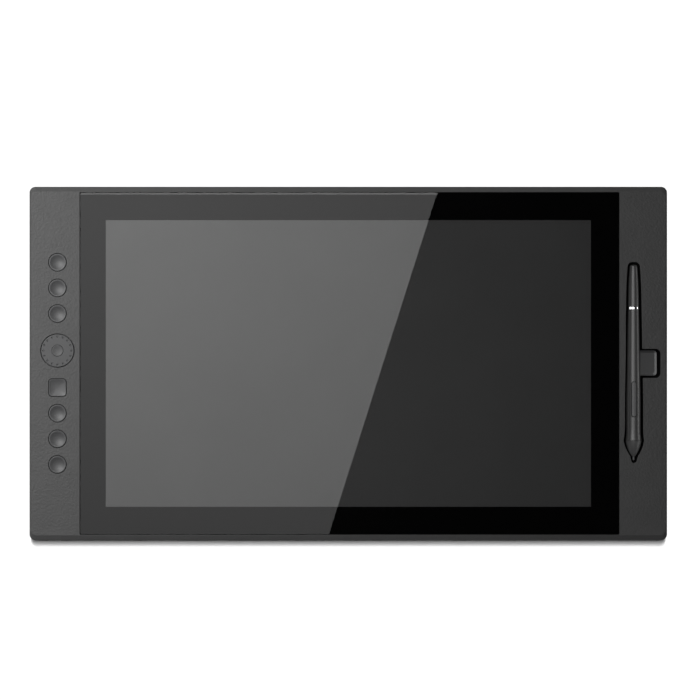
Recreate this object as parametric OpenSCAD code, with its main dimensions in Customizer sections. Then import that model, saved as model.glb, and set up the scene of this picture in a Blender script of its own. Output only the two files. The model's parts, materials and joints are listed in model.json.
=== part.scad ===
// Pen display: a drawing tablet with a screen behind its glass, a column of
// shortcut keys round a dial on the left, and a pen lying in a slot on the right.
// Millimetres. +X is right, +Y is away from the user, +Z is up.
// The origin is the middle of the footprint, on the desk.

/* [Screen] */
// Width of the lit area
active_w = 340.9; // [325:0.1:360]
// Height of the lit area
active_h = 201.4; // [190:0.1:215]
// Black border left of the lit area
border_left = 18.2; // [16:0.1:24]
// Black border right of the lit area
border_right = 19.9; // [16:0.1:24]
// Black border above and below the lit area
border_y = 19.6; // [17:0.1:24]
// Thickness of the cover glass
glass_t = 1.8; // [1.2:0.1:2.4]
// Gap between the cover glass and the frame
glass_gap = 0.2; // [0.1:0.05:0.4]
// Radius of the cover glass corners
glass_corner_r = 1; // [0.5:0.1:3]
// Width of the polished bevel on the glass edge
glass_bevel = 0.6; // [0.2:0.1:1]

/* [Body] */
// Panel left of the glass, which holds the keys
key_strip_w = 35.4; // [33:0.1:45]
// Panel right of the glass, which holds the pen
pen_strip_w = 33.6; // [33:0.1:45]
// Rim above and below the glass
rim_w = 3.85; // [3.6:0.05:8]
// Thickness of the housing, without its feet
body_t = 16.5; // [15.5:0.1:20]
// Radius of the housing corners, seen from above
corner_r = 4.2; // [3:0.1:8]
// Width of the bevel along the left and right edges
bevel_x = 1.4; // [1:0.1:3]
// Width of the bevel along the far and near edges
bevel_y = 3.5; // [2:0.1:3.6]
// Drop of the bevel from the face to the side
bevel_drop = 1.5; // [0.8:0.1:2.5]
// Thickness of the side walls and of the floor
wall_t = 2; // [1.6:0.1:2.4]
// Thickness of the front panels
face_t = 2.2; // [1.8:0.1:2.4]
// Height of the front frame's side walls
skirt_h = 8; // [7.5:0.1:9]
// How far the rounded lower edge draws in
under_edge_in = 5.5; // [3:0.1:6]
// Height of the rounded lower edge
under_edge_h = 3.6; // [2.5:0.1:3.8]
// Thickness of a rubber foot
foot_t = 2; // [1.5:0.1:3]
// Depth of a foot's seat in the rear cover
foot_sink = 0.5; // [0.3:0.1:1]
// Length of a rubber foot
foot_l = 42; // [30:1:60]
// Width of a rubber foot
foot_w = 9; // [6:0.5:12]

/* [Keys] */
// Distance of the key column from the left edge
key_inset = 19.8; // [18.5:0.1:21]
// Distance between neighbouring keys
key_pitch = 18; // [16.5:0.1:20]
// Radius of a round key
key_r = 6.1; // [5:0.1:6.4]
// Gap between a key and its hole
key_gap = 0.35; // [0.2:0.05:0.5]
// How far a key stands above the face
key_proud = 0.4; // [0:0.1:1]
// Travel of a key
key_travel = 0.5; // [0.3:0.05:0.8]
// Radius of the hollow in a round key
dish_r = 5; // [4:0.1:5]
// Depth of the hollow in a key
dish_depth = 1; // [0.3:0.1:1.1]
// Width of the square key
square_w = 12.1; // [10:0.1:12.6]
// Radius of the square key's hollow, which runs out over its sides
square_hollow_r = 7.2; // [6.5:0.1:8.5]
// Corner radius of the square key
square_corner_r = 2.1; // [1:0.1:3]
// Distance from the dial's centre to the keys beside it
dial_pitch = 26; // [24:0.1:28]
// Radius of the dial
dial_r = 11.5; // [10.9:0.1:11.8]
// Gap between the dial and its hole
dial_gap = 0.45; // [0.3:0.05:0.6]
// Radius of the push button in the dial's centre
hub_r = 3.85; // [3:0.05:4.2]
// Gap between the dial and the push button
hub_gap = 0.3; // [0.2:0.05:0.5]
// Number of dimples round the dial
dimple_count = 16; // [8:1:24]
// Radius of the ring of dimples
dimple_ring_r = 9.9; // [8.5:0.1:10]
// Radius of a dimple
dimple_r = 0.75; // [0.4:0.05:0.8]
// Depth of a dimple
dimple_depth = 0.4; // [0.15:0.05:0.4]

/* [Pen] */
// Length of the pen, with its nib
pen_l = 137.6; // [130:0.1:145]
// Distance of the pen's axis from the right edge
pen_inset = 23.6; // [23:0.1:24.5]
// Depth of the pen's axis below the face
pen_sink = 1.5; // [1:0.1:2]
// Length of the nib that shows
nib_out = 2.9; // [2:0.1:4]
// Radius of the nib
nib_r = 0.75; // [0.6:0.05:0.8]
// Travel of the nib when it is pressed
nib_travel = 0.8; // [0.4:0.1:1]
// Radius of the nose at its tip
nose_tip_r = 1.2; // [1.1:0.05:1.5]
// Radius of the pen where it is thickest
bulge_r = 5.65; // [5.4:0.05:5.8]
// Distance from the nib's tip to the thickest place
bulge_s = 14; // [13:0.1:15]
// Radius of the pen at the grip
grip_r = 5.05; // [4.9:0.05:5.2]
// Narrowing of the barrel, as radius lost for each millimetre
barrel_taper = 0.0175; // [0.012:0.0005:0.018]
// Distance from the nib's tip to the metal ring
ring_s = 106.2; // [104:0.1:110]
// Width of the metal ring
ring_w = 1.8; // [1:0.1:3]
// Length of the side switch
rocker_l = 24.5; // [20:0.5:28]
// Width of the side switch
rocker_w = 3.3; // [2.8:0.1:3.4]
// How far the side switch stands above the barrel
rocker_proud = 0.45; // [0.3:0.05:0.7]
// Distance from the nib's tip to the middle of the side switch
rocker_s = 43; // [42:0.1:46]
// Gap between the pen and the left side of its slot
slot_gap = 0.9; // [0.7:0.05:1]
// Gap at the right side of the slot and at its ends
slot_room = 1.75; // [1:0.05:1.8]
// Wall of the pen tray
tray_wall = 1.2; // [1:0.05:1.3]
// Length of the finger notch beside the pen
notch_l = 20.3; // [17:0.1:23]
// Distance of the finger notch from the right edge
notch_inset = 4.9; // [4.8:0.1:7]
// Corner radius of the finger notch
notch_r = 3.4; // [2:0.1:4]
// Depth of the finger rest in the notch
notch_depth = 4.6; // [4.3:0.1:5]
// Depth of the groove round the finger rest
moat_depth = 6.6; // [5.6:0.1:6.8]

/* [Hidden] */
$fn = 64;
hull_fn = 32;
overlap = 0.2;
cut = 1;

// Layers of the screen, from the glass down
print_t = 0.2;
tape_t = 0.3;
ledge_t = 1.8;
cell_t = 1.2;
film_t = 0.6;
guide_t = 2;
reflector_t = 0.2;
chassis_t = 0.5;
sensor_t = 0.8;
shield_t = 0.6;
panel_margin = 6;
panel_gap = 0.4;
layer_gap = 0.3;
sensor_margin = 3;
shield_lap = 9;
ledge_root = 1.4;
print_margin = 0.4;
tape_margin = 0.8;

// Boards, switches and connectors
board_t = 1.2;
switch_w = 6.2;
switch_h = 3;
switch_clear = 0.4;
switch_bore_r = 1.9;
switch_bore_depth = 2;
stem_r = 1.75;
stem_entry = 0.8;
flange_w = 1.3;
flange_t = 1.2;
flange_gap = 0.2;
ribbon_t = 0.3;
key_board_w = 26;
key_board_margin = 9;
key_board_r = 2;
key_boss_out = 10;
main_board_w = 120;
main_board_h = 50;
main_board_x = 80;
main_board_edge_gap = 2.2;
main_board_lift = 1;
chip_w = [14, 12, 9, 7];
chip_t = 1.3;
chip_pitch = 24;
chip_shift = 10;
connector_h = 1.8;
connector_d = 4;
key_connector_d = 6;
sensor_ribbon_w = 22;
panel_ribbon_w = 30;
sensor_ribbon_inset = 22;
panel_ribbon_inset = 32;
key_ribbon_w = 12;
ribbon_bend = 1;
ribbon_pad = 1.4;

// Screws, and the bosses and posts that they go into
case_boss_r = 3.2;
case_post_r = 3.6;
case_inset = 9;
case_joint_z = 6.5;
case_screw_r = 1.2;
case_head_r = 2.3;
case_head_h = 1.3;
case_head_sink = 0.3;
case_bite = 3.2;
small_boss_r = 2.4;
small_screw_r = 0.9;
small_head_r = 1.7;
small_head_h = 0.8;
small_bite = 2;
screw_gap = 0.08;
head_gap = 0.3;
plate_post_x = 80;
plate_post_y = 58;
plate_boss_r = 2.7;

// Socket and power key in the far wall
socket_x = 60;
socket_w = 8.94;
socket_h = 3.26;
socket_shell = 0.3;
socket_l = 7.3;
socket_recess = 0.6;
socket_gap = 0.3;
tongue_w = 6.69;
tongue_h = 0.7;
tongue_l = 5;
power_x = 95;
power_l = 9;
power_h = 2.4;
power_gap = 0.2;
power_recess = 0.15;
power_flange = 0.6;
power_flange_t = 0.8;
power_flange_gap = 0.25;
power_stem_r = 0.9;
power_stem_l = 2;
power_entry = 0.5;
power_travel = 0.4;
power_switch_w = 6;
power_switch_d = 4;
power_switch_h = 3.3;

// Lip of the rear cover, vents and feet
lip_h = 1.2;
lip_t = 1.2;
lip_gap = 0.15;
lip_root = 0.8;
vent_count = 15;
vent_pitch = 7;
vent_w = 2.4;
vent_l = 24;
foot_inset_x = 52;
foot_inset_y = 17;

// Inside of the pen
barrel_bore_r = 3.8;
tail_bore_r = 3;
barrel_step_s = 75;
nose_cavity_s = 10.5;
nose_cavity_r = 3;
spigot_l = 5;
spigot_gap = 0.08;
tail_spigot_l = 6;
tail_hollow_r = 1.9;
tail_round = 1.6;
tail_end_t = 12;
ferrite_r = 2.2;
ferrite_l = 9;
coil_r = 2.85;
coil_l = 6.5;
nib_gap = 0.1;
cell_s = 22;
cell_l = 7;
cell_r = 3.6;
nib_entry = 2;
pen_board_w = 5;
pen_board_t = 1;
pen_board_end_gap = 2;
pen_switch_w = 2.6;
pen_switch_h = 1.1;
neck_l = 8;
taper_s = 44;
tail_curve_s = 104;
tail_drop = 0.9;
rocker_gap = 0.25;
rocker_depth = 1.6;
trunnion_r = 0.5;
trunnion_l = 4.7;
trunnion_gap = 0.06;
trunnion_drop = 1.35;
nub_r = 0.7;
nub_gap = 0.6;
pen_shift_y = 0.6;
saddle_gap = 0.15;
saddle_l = 3;
saddles = [26, 95];
tray_ear_r = 3.2;
tray_ear_t = 1.6;
tray_boss_l = 3;
tray_ear_out = 12.5;
tray_ear_y = 38;
tray_end_ear = 4.5;
tray_end_arm = 8;
moat_right = 2.2;
moat_near = 1.6;
moat_far = 1;
rest_r = 2.4;
rest_bevel = 1.6;
rest_fall = 0.3;

// Plan of the body
glass_w = border_left + active_w + border_right;
glass_h = active_h + 2 * border_y;
body_w = key_strip_w + glass_w + pen_strip_w;
body_h = glass_h + 2 * rim_w;
left_x = -body_w / 2;
right_x = body_w / 2;
far_y = body_h / 2;
glass_x = left_x + key_strip_w + glass_w / 2;
active_x = left_x + key_strip_w + border_left + active_w / 2;
panel_w = active_w + 2 * panel_margin;
panel_h = active_h + 2 * panel_margin;
window_w = panel_w + 2 * panel_gap;
window_h = panel_h + 2 * panel_gap;
sensor_w = active_w + 2 * sensor_margin;
sensor_h = active_h + 2 * sensor_margin;
shield_w = window_w + 2 * shield_lap;
shield_h = window_h + 2 * shield_lap;

// Heights above the desk
base_z = foot_t - foot_sink;
floor_z = base_z + wall_t;
top_z = base_z + body_t;
face_z = top_z - face_t;
seam_z = top_z - skirt_h;
glass_z = top_z - glass_t;
print_z = glass_z - print_t;
ledge_z = print_z - tape_t;
ledge_under_z = ledge_z - ledge_t;
lcd_z = print_z - cell_t;
film_z = lcd_z - film_t;
guide_z = film_z - guide_t;
reflector_z = guide_z - reflector_t;
chassis_z = reflector_z - chassis_t;
sensor_z = chassis_z - sensor_t;
shield_z = sensor_z - shield_t;

// Places of the keys
key_x = left_x + key_inset;
key_span = 3 * key_pitch + dial_pitch - key_pitch / 2;
dial_y = key_span - 2 * key_pitch - dial_pitch;
square_y = dial_y - dial_pitch;
round_key_y = [
    key_span, key_span - key_pitch, key_span - 2 * key_pitch,
    square_y - key_pitch, square_y - 2 * key_pitch, square_y - 3 * key_pitch
];
flange_top_z = face_z - flange_gap;
flange_z = flange_top_z - flange_t;
key_board_z = flange_z - key_travel - switch_clear - switch_h - board_t;
key_board_top = key_board_z + board_t;
switch_top = key_board_top + switch_h;
stem_z = switch_top - stem_entry;
key_board_h = 2 * (key_span + key_board_margin);
key_board_bosses = [for (x = [-1, 1], y = [-1, 1])
    [key_x + x * key_boss_out, y * (key_span - key_pitch / 2)]];

// Places of the boards behind the screen
main_board_y = far_y - wall_t - main_board_edge_gap - main_board_h / 2;
main_board_z = floor_z + main_board_lift;
main_board_top = main_board_z + board_t;
connector_top = main_board_top + connector_h;
board_corners = [for (x = [-1, 1], y = [-1, 1])
    [main_board_x + x * (main_board_w / 2 - 4), main_board_y + y * (main_board_h / 2 - 4)]];
sensor_ribbon_x = main_board_x - main_board_w / 2 + sensor_ribbon_inset;
sensor_ribbon_y = sensor_h / 2 - ribbon_pad - ribbon_bend - 1.6;
panel_ribbon_x = main_board_x + main_board_w / 2 - panel_ribbon_inset;
panel_ribbon_y = sensor_h / 2 + 0.2;
key_ribbon_y = main_board_y - main_board_h / 2 + key_ribbon_w / 2 + 9;
key_ribbon_z = key_board_z - connector_h / 2;
key_connector_x = main_board_x - main_board_w / 2 + key_connector_d / 2 + 1;

// Places of the screws
case_corners = [for (x = [-1, 1], y = [-1, 1])
    [x * (body_w / 2 - case_inset), y * (far_y - case_inset)]];
plate_posts = [for (x = [-1, 1], y = [-1, 1])
    [active_x + x * plate_post_x, y * plate_post_y]];
case_screw_spots = concat(case_corners, plate_posts);
shield_boss_x = window_w / 2 + shield_lap / 2;
shield_boss_y = window_h / 2 + shield_lap / 2;
shield_bosses = [for (x = [-1, -1 / 3, 1 / 3, 1], y = [-1, 1])
    [active_x + x * shield_boss_x, y * shield_boss_y]];

// Socket and power key
socket_z = main_board_top + socket_h / 2;
socket_mouth_y = far_y - socket_recess;
power_face_y = far_y - power_recess;
power_flange_y = far_y - wall_t - power_flange_gap;
power_stem_y = power_flange_y - power_flange_t - power_stem_l;

// Places of the pen and its tray
pen_x = right_x - pen_inset;
pen_z = top_z - pen_sink;
nib_y = pen_shift_y - pen_l / 2;
notch_x = right_x - notch_inset;
rest_z = top_z - notch_depth;
moat_z = top_z - moat_depth;
tray_ear_z = face_z - tray_boss_l;
slot_end = slot_gap + tray_wall;
far_ear_y = nib_y + pen_l + slot_end + tray_end_ear;
near_ear_y = nib_y - slot_end - tray_end_ear;
tray_ears = [
    [pen_x + tray_ear_out, tray_ear_y],
    [pen_x + tray_ear_out, -tray_ear_y],
    [pen_x, far_ear_y],
    [pen_x, near_ear_y]
];

// Shapes that several sub-parts share

module rounded_rect(w, h, r) {
    square([w - 2 * r, h], center = true);
    square([w, h - 2 * r], center = true);
    for (x = [-1, 1], y = [-1, 1])
        translate([x * (w / 2 - r), y * (h / 2 - r)]) circle(r);
}

module plate(w, h, r, z0, z1) {
    translate([0, 0, z0]) linear_extrude(z1 - z0) rounded_rect(w, h, r);
}

module block(w, h, z0, z1) {
    translate([-w / 2, -h / 2, z0]) cube([w, h, z1 - z0]);
}

module posts(spots, r, z0, z1) {
    for (spot = spots) translate([spot[0], spot[1], z0]) cylinder(r = r, h = z1 - z0);
}

// Blind holes that open downwards at z and take a screw to the depth bite
module screw_holes(spots, screw_r, z, bite) {
    posts(spots, screw_r + screw_gap, z - cut, z + bite + overlap);
}

// Screws whose heads lie at head_z and whose shanks rise to tip_z
module screws_up(spots, shank_r, head_r, head_h, head_z, tip_z) {
    for (spot = spots) translate([spot[0], spot[1], 0]) {
        translate([0, 0, head_z - head_h]) cylinder(r = head_r, h = head_h);
        translate([0, 0, head_z - overlap]) cylinder(r = shank_r, h = tip_z - head_z + overlap);
    }
}

module stadium(l, h) {
    square([l - h, h], center = true);
    for (x = [-1, 1]) translate([x * (l - h) / 2, 0]) circle(h / 2);
}

// A stadium-shaped bar that runs along Y from y0 to y1
module wall_stadium(l, h, y0, y1) {
    translate([0, y1, 0]) rotate([90, 0, 0]) linear_extrude(y1 - y0) stadium(l, h);
}

// A flat cable: a pad that lies under a board, a bend, and a leg down to z1
module ribbon(width, z0, z1) {
    leg_y = ribbon_pad + ribbon_bend;
    translate([-width / 2, 0, z0 - ribbon_t]) cube([width, ribbon_pad, ribbon_t]);
    translate([0, ribbon_pad, z0 - ribbon_bend]) intersection() {
        rotate([0, 90, 0]) difference() {
            cylinder(r = ribbon_bend, h = width, center = true);
            cylinder(r = ribbon_bend - ribbon_t, h = width + cut, center = true);
        }
        translate([-width / 2, 0, 0]) cube([width, ribbon_bend + cut, ribbon_bend + cut]);
    }
    translate([-width / 2, leg_y - ribbon_t, z1]) cube([width, ribbon_t, z0 - ribbon_bend - z1]);
}

// Places a shape turned about Z so that its axis lies along the pen, nib end first
module along_pen() {
    translate([pen_x, nib_y, pen_z]) rotate([-90, 0, 0]) children();
}

// Radius of the pen's outside, at the distance s from the nib's tip
function nose_radius(s) =
    nose_tip_r + (bulge_r - nose_tip_r) * sin(90 * (s - nib_out) / (bulge_s - nib_out));
function neck_radius(s) =
    grip_r + (bulge_r - grip_r) * (1 + cos(180 * (s - bulge_s) / neck_l)) / 2;
function barrel_radius(s) =
    grip_r - barrel_taper * max(0, s - taper_s)
    - tail_drop * pow(max(0, s - tail_curve_s) / (pen_l - tail_curve_s), 2);

// Stations along the pen, closer together where its outline curves
nose_steps = [for (i = [0 : 8]) nib_out + (bulge_s - nib_out) * i / 8];
neck_steps = [for (i = [1 : 6]) bulge_s + neck_l * i / 6];
tail_steps = [for (i = [1 : 5]) ring_s + ring_w + (pen_l - tail_round - ring_s - ring_w) * i / 5];

// The pen's outline with every radius grown by gap and its ends by end_gap, from its nib to its tail
function grown_outline(gap, end_gap) = concat(
    [[0, -end_gap], [nib_r + gap, -end_gap], [nib_r + gap, nib_out]],
    [for (s = nose_steps) [nose_radius(s) + gap, s]],
    [for (s = neck_steps) [neck_radius(s) + gap, s]],
    [[grip_r + gap, taper_s], [barrel_radius(ring_s) + gap, ring_s]],
    [for (s = tail_steps) [barrel_radius(s) + gap, s]],
    [for (a = [0 : 22.5 : 90]) tail_corner(a, gap, end_gap)],
    [[0, pen_l + end_gap]]
);

// The rounded corner of the tail, which grows with the gaps
function tail_corner(a, gap, end_gap) = [
    barrel_radius(pen_l - tail_round) - tail_round + (tail_round + gap) * cos(a),
    pen_l - tail_round + (tail_round + end_gap) * sin(a)
];

// Housing

module frame_block() {
    hull() {
        plate(body_w, body_h, corner_r, seam_z, top_z - bevel_drop, $fn = hull_fn);
        plate(body_w - 2 * bevel_x, body_h - 2 * bevel_y, corner_r - bevel_x / 2,
              top_z - overlap, top_z, $fn = hull_fn);
    }
}

module key_holes() {
    for (y = round_key_y) translate([key_x, y, face_z - cut])
        cylinder(r = key_r + key_gap, h = face_t + 2 * cut);
    translate([key_x, dial_y, face_z - cut])
        cylinder(r = dial_r + dial_gap, h = face_t + 2 * cut);
    translate([key_x, square_y, 0])
        plate(square_w + 2 * key_gap, square_w + 2 * key_gap, square_corner_r + key_gap,
              face_z - cut, top_z + cut);
}

// Plan of the finger notch, from the pen's axis to the notch's outer edge, grown by gap
module notch_plan(gap) {
    l = notch_x - pen_x + 2 * notch_r;
    translate([notch_x - l / 2, 0])
        rounded_rect(l + 2 * gap, notch_l + 2 * gap, notch_r + gap);
}

module slot_opening() {
    translate([pen_x, nib_y, face_z - cut]) linear_extrude(face_t + 2 * cut) {
        polygon(grown_outline(slot_room, slot_room));
        mirror([1, 0, 0]) polygon(grown_outline(slot_gap, slot_room));
    }
    translate([0, 0, face_z - cut]) linear_extrude(face_t + 2 * cut) intersection() {
        notch_plan(0);
        translate([pen_x, -notch_l]) square([pen_strip_w, 2 * notch_l]);
    }
}

module front_frame() {
    color("#3a3b3d") difference() {
        union() {
            difference() {
                frame_block();
                plate(body_w - 2 * wall_t, body_h - 2 * wall_t, corner_r - wall_t,
                      seam_z - cut, face_z);
            }
            translate([glass_x, 0, 0])
                block(glass_w + 2 * (glass_gap + ledge_root), body_h - wall_t,
                      ledge_under_z, face_z + overlap);
            posts(case_corners, case_boss_r, case_joint_z, face_z + overlap);
            posts(key_board_bosses, small_boss_r, key_board_top, face_z + overlap);
            posts(tray_ears, small_boss_r, tray_ear_z, face_z + overlap);
            posts(shield_bosses, small_boss_r, shield_z + shield_t, ledge_under_z + overlap);
        }
        translate([glass_x, 0, 0])
            plate(glass_w + 2 * glass_gap, glass_h + 2 * glass_gap, glass_corner_r + glass_gap,
                  ledge_z, top_z + cut);
        translate([active_x, 0, 0]) block(window_w, window_h, seam_z, top_z);
        key_holes();
        slot_opening();
        screw_holes(case_corners, case_screw_r, case_joint_z, case_bite);
        screw_holes(key_board_bosses, small_screw_r, key_board_top, small_bite);
        screw_holes(tray_ears, small_screw_r, tray_ear_z, small_bite);
        screw_holes(shield_bosses, small_screw_r, sensor_z, small_bite);
    }
}

// A shape that narrows towards the desk along a quarter ellipse, drawn in by inset all round
module rear_form(inset, z_low, z_high) {
    hull() for (a = [0 : 18 : 90]) {
        draw_in = inset + under_edge_in * (1 - sin(a));
        z = z_low + under_edge_h * (1 - cos(a));
        plate(body_w - 2 * draw_in, body_h - 2 * draw_in, corner_r + under_edge_in * (1 - sin(a)) - inset,
              z, a == 90 ? z_high : z + overlap, $fn = hull_fn);
    }
}

module vent_slots() {
    for (i = [0 : vent_count - 1])
        translate([main_board_x + (i - (vent_count - 1) / 2) * vent_pitch, main_board_y, base_z - cut])
            rotate(90) linear_extrude(wall_t + 2 * cut) stadium(vent_l, vent_w);
}

module foot_pads(gap, z0, z1) {
    for (x = [-1, 1], y = [-1, 1])
        translate([x * (body_w / 2 - foot_inset_x), y * (far_y - foot_inset_y), z0])
            linear_extrude(z1 - z0) stadium(foot_l + 2 * gap, foot_w + 2 * gap);
}

module rear_cover() {
    lip_w = body_w - 2 * (wall_t + lip_gap);
    lip_d = body_h - 2 * (wall_t + lip_gap);
    color("#2c2d2f") difference() {
        union() {
            difference() {
                rear_form(0, base_z, seam_z);
                rear_form(wall_t, floor_z, seam_z + cut);
            }
            difference() {
                union() {
                    plate(lip_w, lip_d, corner_r - wall_t - lip_gap, seam_z - lip_root, seam_z + lip_h);
                    plate(body_w - wall_t, body_h - wall_t, corner_r - wall_t / 2, seam_z - lip_root, seam_z);
                }
                plate(lip_w - 2 * lip_t, lip_d - 2 * lip_t, corner_r - wall_t,
                      seam_z - cut, seam_z + lip_h + cut);
            }
            posts(case_screw_spots, case_post_r, floor_z - overlap, case_joint_z);
            posts(board_corners, small_boss_r, floor_z - overlap, main_board_z);
        }
        posts(case_screw_spots, case_screw_r + head_gap / 2, base_z - cut, case_joint_z + cut);
        posts(case_screw_spots, case_head_r + head_gap, base_z - cut, base_z + case_head_sink + case_head_h);
        posts(board_corners, small_screw_r + screw_gap, base_z + wall_t / 2, main_board_z + cut);
        translate([socket_x, 0, socket_z])
            wall_stadium(socket_w + 2 * socket_gap, socket_h + 2 * socket_gap,
                         far_y - wall_t - cut, far_y + cut);
        translate([power_x, 0, socket_z])
            wall_stadium(power_l + 2 * power_gap, power_h + 2 * power_gap,
                         far_y - wall_t - cut, far_y + cut);
        translate([power_x, 0, socket_z])
            wall_stadium(power_l + 2 * (power_flange + power_flange_gap),
                         power_h + 2 * (power_flange + power_flange_gap),
                         far_y - wall_t - under_edge_in, far_y - wall_t);
        foot_pads(0.1, base_z - cut, base_z + foot_sink);
        vent_slots();
    }
}

module rubber_feet() {
    color("#1b1b1c") foot_pads(0, 0, foot_t);
}

module case_screws() {
    head_top = base_z + case_head_sink + case_head_h;
    color("#26272a")
        screws_up(case_screw_spots, case_screw_r, case_head_r, case_head_h,
                  head_top, case_joint_z + case_bite);
}

// Screen

module cover_glass() {
    color("#0c0d0f") translate([glass_x, 0, 0]) hull() {
        plate(glass_w, glass_h, glass_corner_r, glass_z, top_z - glass_bevel, $fn = hull_fn);
        plate(glass_w - 2 * glass_bevel, glass_h - 2 * glass_bevel, glass_corner_r,
              top_z - overlap, top_z, $fn = hull_fn);
    }
}

module border_print() {
    outer_w = glass_w - 2 * print_margin;
    outer_h = glass_h - 2 * print_margin;
    color("#050505") difference() {
        translate([glass_x, 0, 0]) plate(outer_w, outer_h, glass_corner_r, print_z, glass_z);
        translate([active_x, 0, 0]) block(active_w, active_h, print_z - cut, glass_z + cut);
    }
}

module glass_tape() {
    outer_w = glass_w - 2 * tape_margin;
    outer_h = glass_h - 2 * tape_margin;
    color("#111111") difference() {
        translate([glass_x, 0, 0]) plate(outer_w, outer_h, glass_corner_r, ledge_z, print_z);
        translate([active_x, 0, 0]) block(window_w, window_h, ledge_z - cut, print_z + cut);
    }
}

module lcd_cell() {
    color("#1e1f21") translate([active_x, 0, 0]) block(panel_w, panel_h, lcd_z, print_z);
}

// Sheets inside the chassis leave room for the strip of lamps along the near edge
lamp_count = 36;
lamp_w = 3;
lamp_l = 3;
lamp_h = 1.2;
lamp_strip_t = 0.6;
lamp_strip_inset = 5;
inner_w = panel_w - 2 * (chassis_t + layer_gap);
inner_h = panel_h - 2 * (chassis_t + layer_gap) - lamp_w - layer_gap;
inner_y = (lamp_w + layer_gap) / 2;

module inner_sheet(z0, z1) {
    translate([active_x, inner_y, 0]) block(inner_w, inner_h, z0, z1);
}

module optical_films() {
    color("#e8e8e4") inner_sheet(film_z, lcd_z);
}

module light_guide() {
    color("#d5e3ea") inner_sheet(guide_z, film_z);
}

module reflector_sheet() {
    color("#f4f4f4") inner_sheet(reflector_z, guide_z);
}

module led_strip() {
    strip_w = inner_w - 2 * lamp_strip_inset;
    near_y = -panel_h / 2 + chassis_t + layer_gap;
    color("#f0e6c0") translate([active_x, near_y, reflector_z]) {
        translate([-strip_w / 2, 0, 0]) cube([strip_w, lamp_strip_t, guide_t]);
        for (i = [0 : lamp_count - 1])
            translate([(i - (lamp_count - 1) / 2) * strip_w / lamp_count - lamp_l / 2,
                       lamp_strip_t - overlap, (guide_t - lamp_h) / 2])
                cube([lamp_l, lamp_w - lamp_strip_t, lamp_h]);
    }
}

module panel_chassis() {
    color("#b9bcc0") translate([active_x, 0, 0]) difference() {
        block(panel_w, panel_h, chassis_z, lcd_z);
        block(panel_w - 2 * chassis_t, panel_h - 2 * chassis_t, reflector_z, lcd_z + cut);
    }
}

module digitizer_board() {
    color("#1d5a36") translate([active_x, 0, 0]) block(sensor_w, sensor_h, sensor_z, chassis_z);
}

module ribbon_slot(x, y, width) {
    translate([x - width / 2 - 1, y - 0.4, shield_z - cut])
        cube([width + 2, ribbon_pad + ribbon_bend + 0.8, shield_t + 2 * cut]);
}

module shield_plate() {
    color("#a7aaad") difference() {
        union() {
            translate([active_x, 0, 0]) plate(shield_w, shield_h, 3, shield_z, sensor_z);
            posts(plate_posts, plate_boss_r, case_joint_z, shield_z + overlap);
        }
        posts(plate_posts, case_screw_r + screw_gap, case_joint_z - cut, shield_z + overlap);
        posts(shield_bosses, small_screw_r + head_gap / 2, shield_z - cut, sensor_z + cut);
        ribbon_slot(sensor_ribbon_x, sensor_ribbon_y, sensor_ribbon_w);
        ribbon_slot(panel_ribbon_x, panel_ribbon_y, panel_ribbon_w);
    }
}

module panel_screws() {
    color("#8d9094")
        screws_up(shield_bosses, small_screw_r, small_head_r, small_head_h, shield_z, sensor_z + small_bite);
}

// Electronics behind the screen

module main_board() {
    color("#17442b") difference() {
        translate([main_board_x, main_board_y, 0])
            plate(main_board_w, main_board_h, 2, main_board_z, main_board_top);
        posts(board_corners, small_screw_r + head_gap / 2, main_board_z - cut, main_board_top + cut);
    }
}

module board_chips() {
    color("#151617") for (i = [0 : len(chip_w) - 1])
        translate([main_board_x + (i - 1.5) * chip_pitch, main_board_y - chip_shift, 0])
            block(chip_w[i], chip_w[i], main_board_top, main_board_top + chip_t);
}

module board_connectors() {
    leg = ribbon_pad + ribbon_bend - ribbon_t / 2;
    color("#ddd6c4") {
        translate([sensor_ribbon_x, sensor_ribbon_y + leg, 0])
            block(sensor_ribbon_w + 4, connector_d, main_board_top, connector_top);
        translate([panel_ribbon_x, panel_ribbon_y + leg, 0])
            block(panel_ribbon_w + 4, connector_d, main_board_top, connector_top);
        translate([key_connector_x, key_ribbon_y, 0])
            block(key_connector_d, key_ribbon_w + 4, main_board_top, key_ribbon_z + connector_h / 2);
        translate([key_x, key_ribbon_y, 0])
            block(key_connector_d, key_ribbon_w + 4, key_board_z - connector_h, key_board_z);
    }
}

module sensor_cable() {
    color("#b5712c") translate([sensor_ribbon_x, sensor_ribbon_y, 0])
        ribbon(sensor_ribbon_w, sensor_z, connector_top);
}

module panel_cable() {
    color("#b5712c") translate([panel_ribbon_x, panel_ribbon_y, 0])
        ribbon(panel_ribbon_w, chassis_z, connector_top);
}

module key_cable() {
    x0 = key_x + key_connector_d / 2;
    x1 = key_connector_x - key_connector_d / 2;
    color("#d8d8d2") translate([x0, key_ribbon_y - key_ribbon_w / 2, key_ribbon_z - ribbon_t / 2])
        cube([x1 - x0, key_ribbon_w, ribbon_t]);
}

module board_screws() {
    color("#8d9094") mirror([0, 0, 1])
        screws_up(board_corners, small_screw_r, small_head_r, small_head_h,
                  -main_board_top, -(base_z + wall_t / 2 + overlap));
}

module usb_c_shell() {
    inner_w = socket_w - 2 * socket_shell;
    inner_h = socket_h - 2 * socket_shell;
    color("#c3c6ca") translate([socket_x, 0, socket_z]) difference() {
        wall_stadium(socket_w, socket_h, socket_mouth_y - socket_l, socket_mouth_y);
        wall_stadium(inner_w, inner_h, socket_mouth_y - socket_l + 0.6, socket_mouth_y + cut);
    }
}

module usb_c_tongue() {
    back_y = socket_mouth_y - socket_l + 0.6;
    color("#16171a") translate([socket_x - tongue_w / 2, back_y, socket_z - tongue_h / 2])
        cube([tongue_w, tongue_l, tongue_h]);
}

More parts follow.
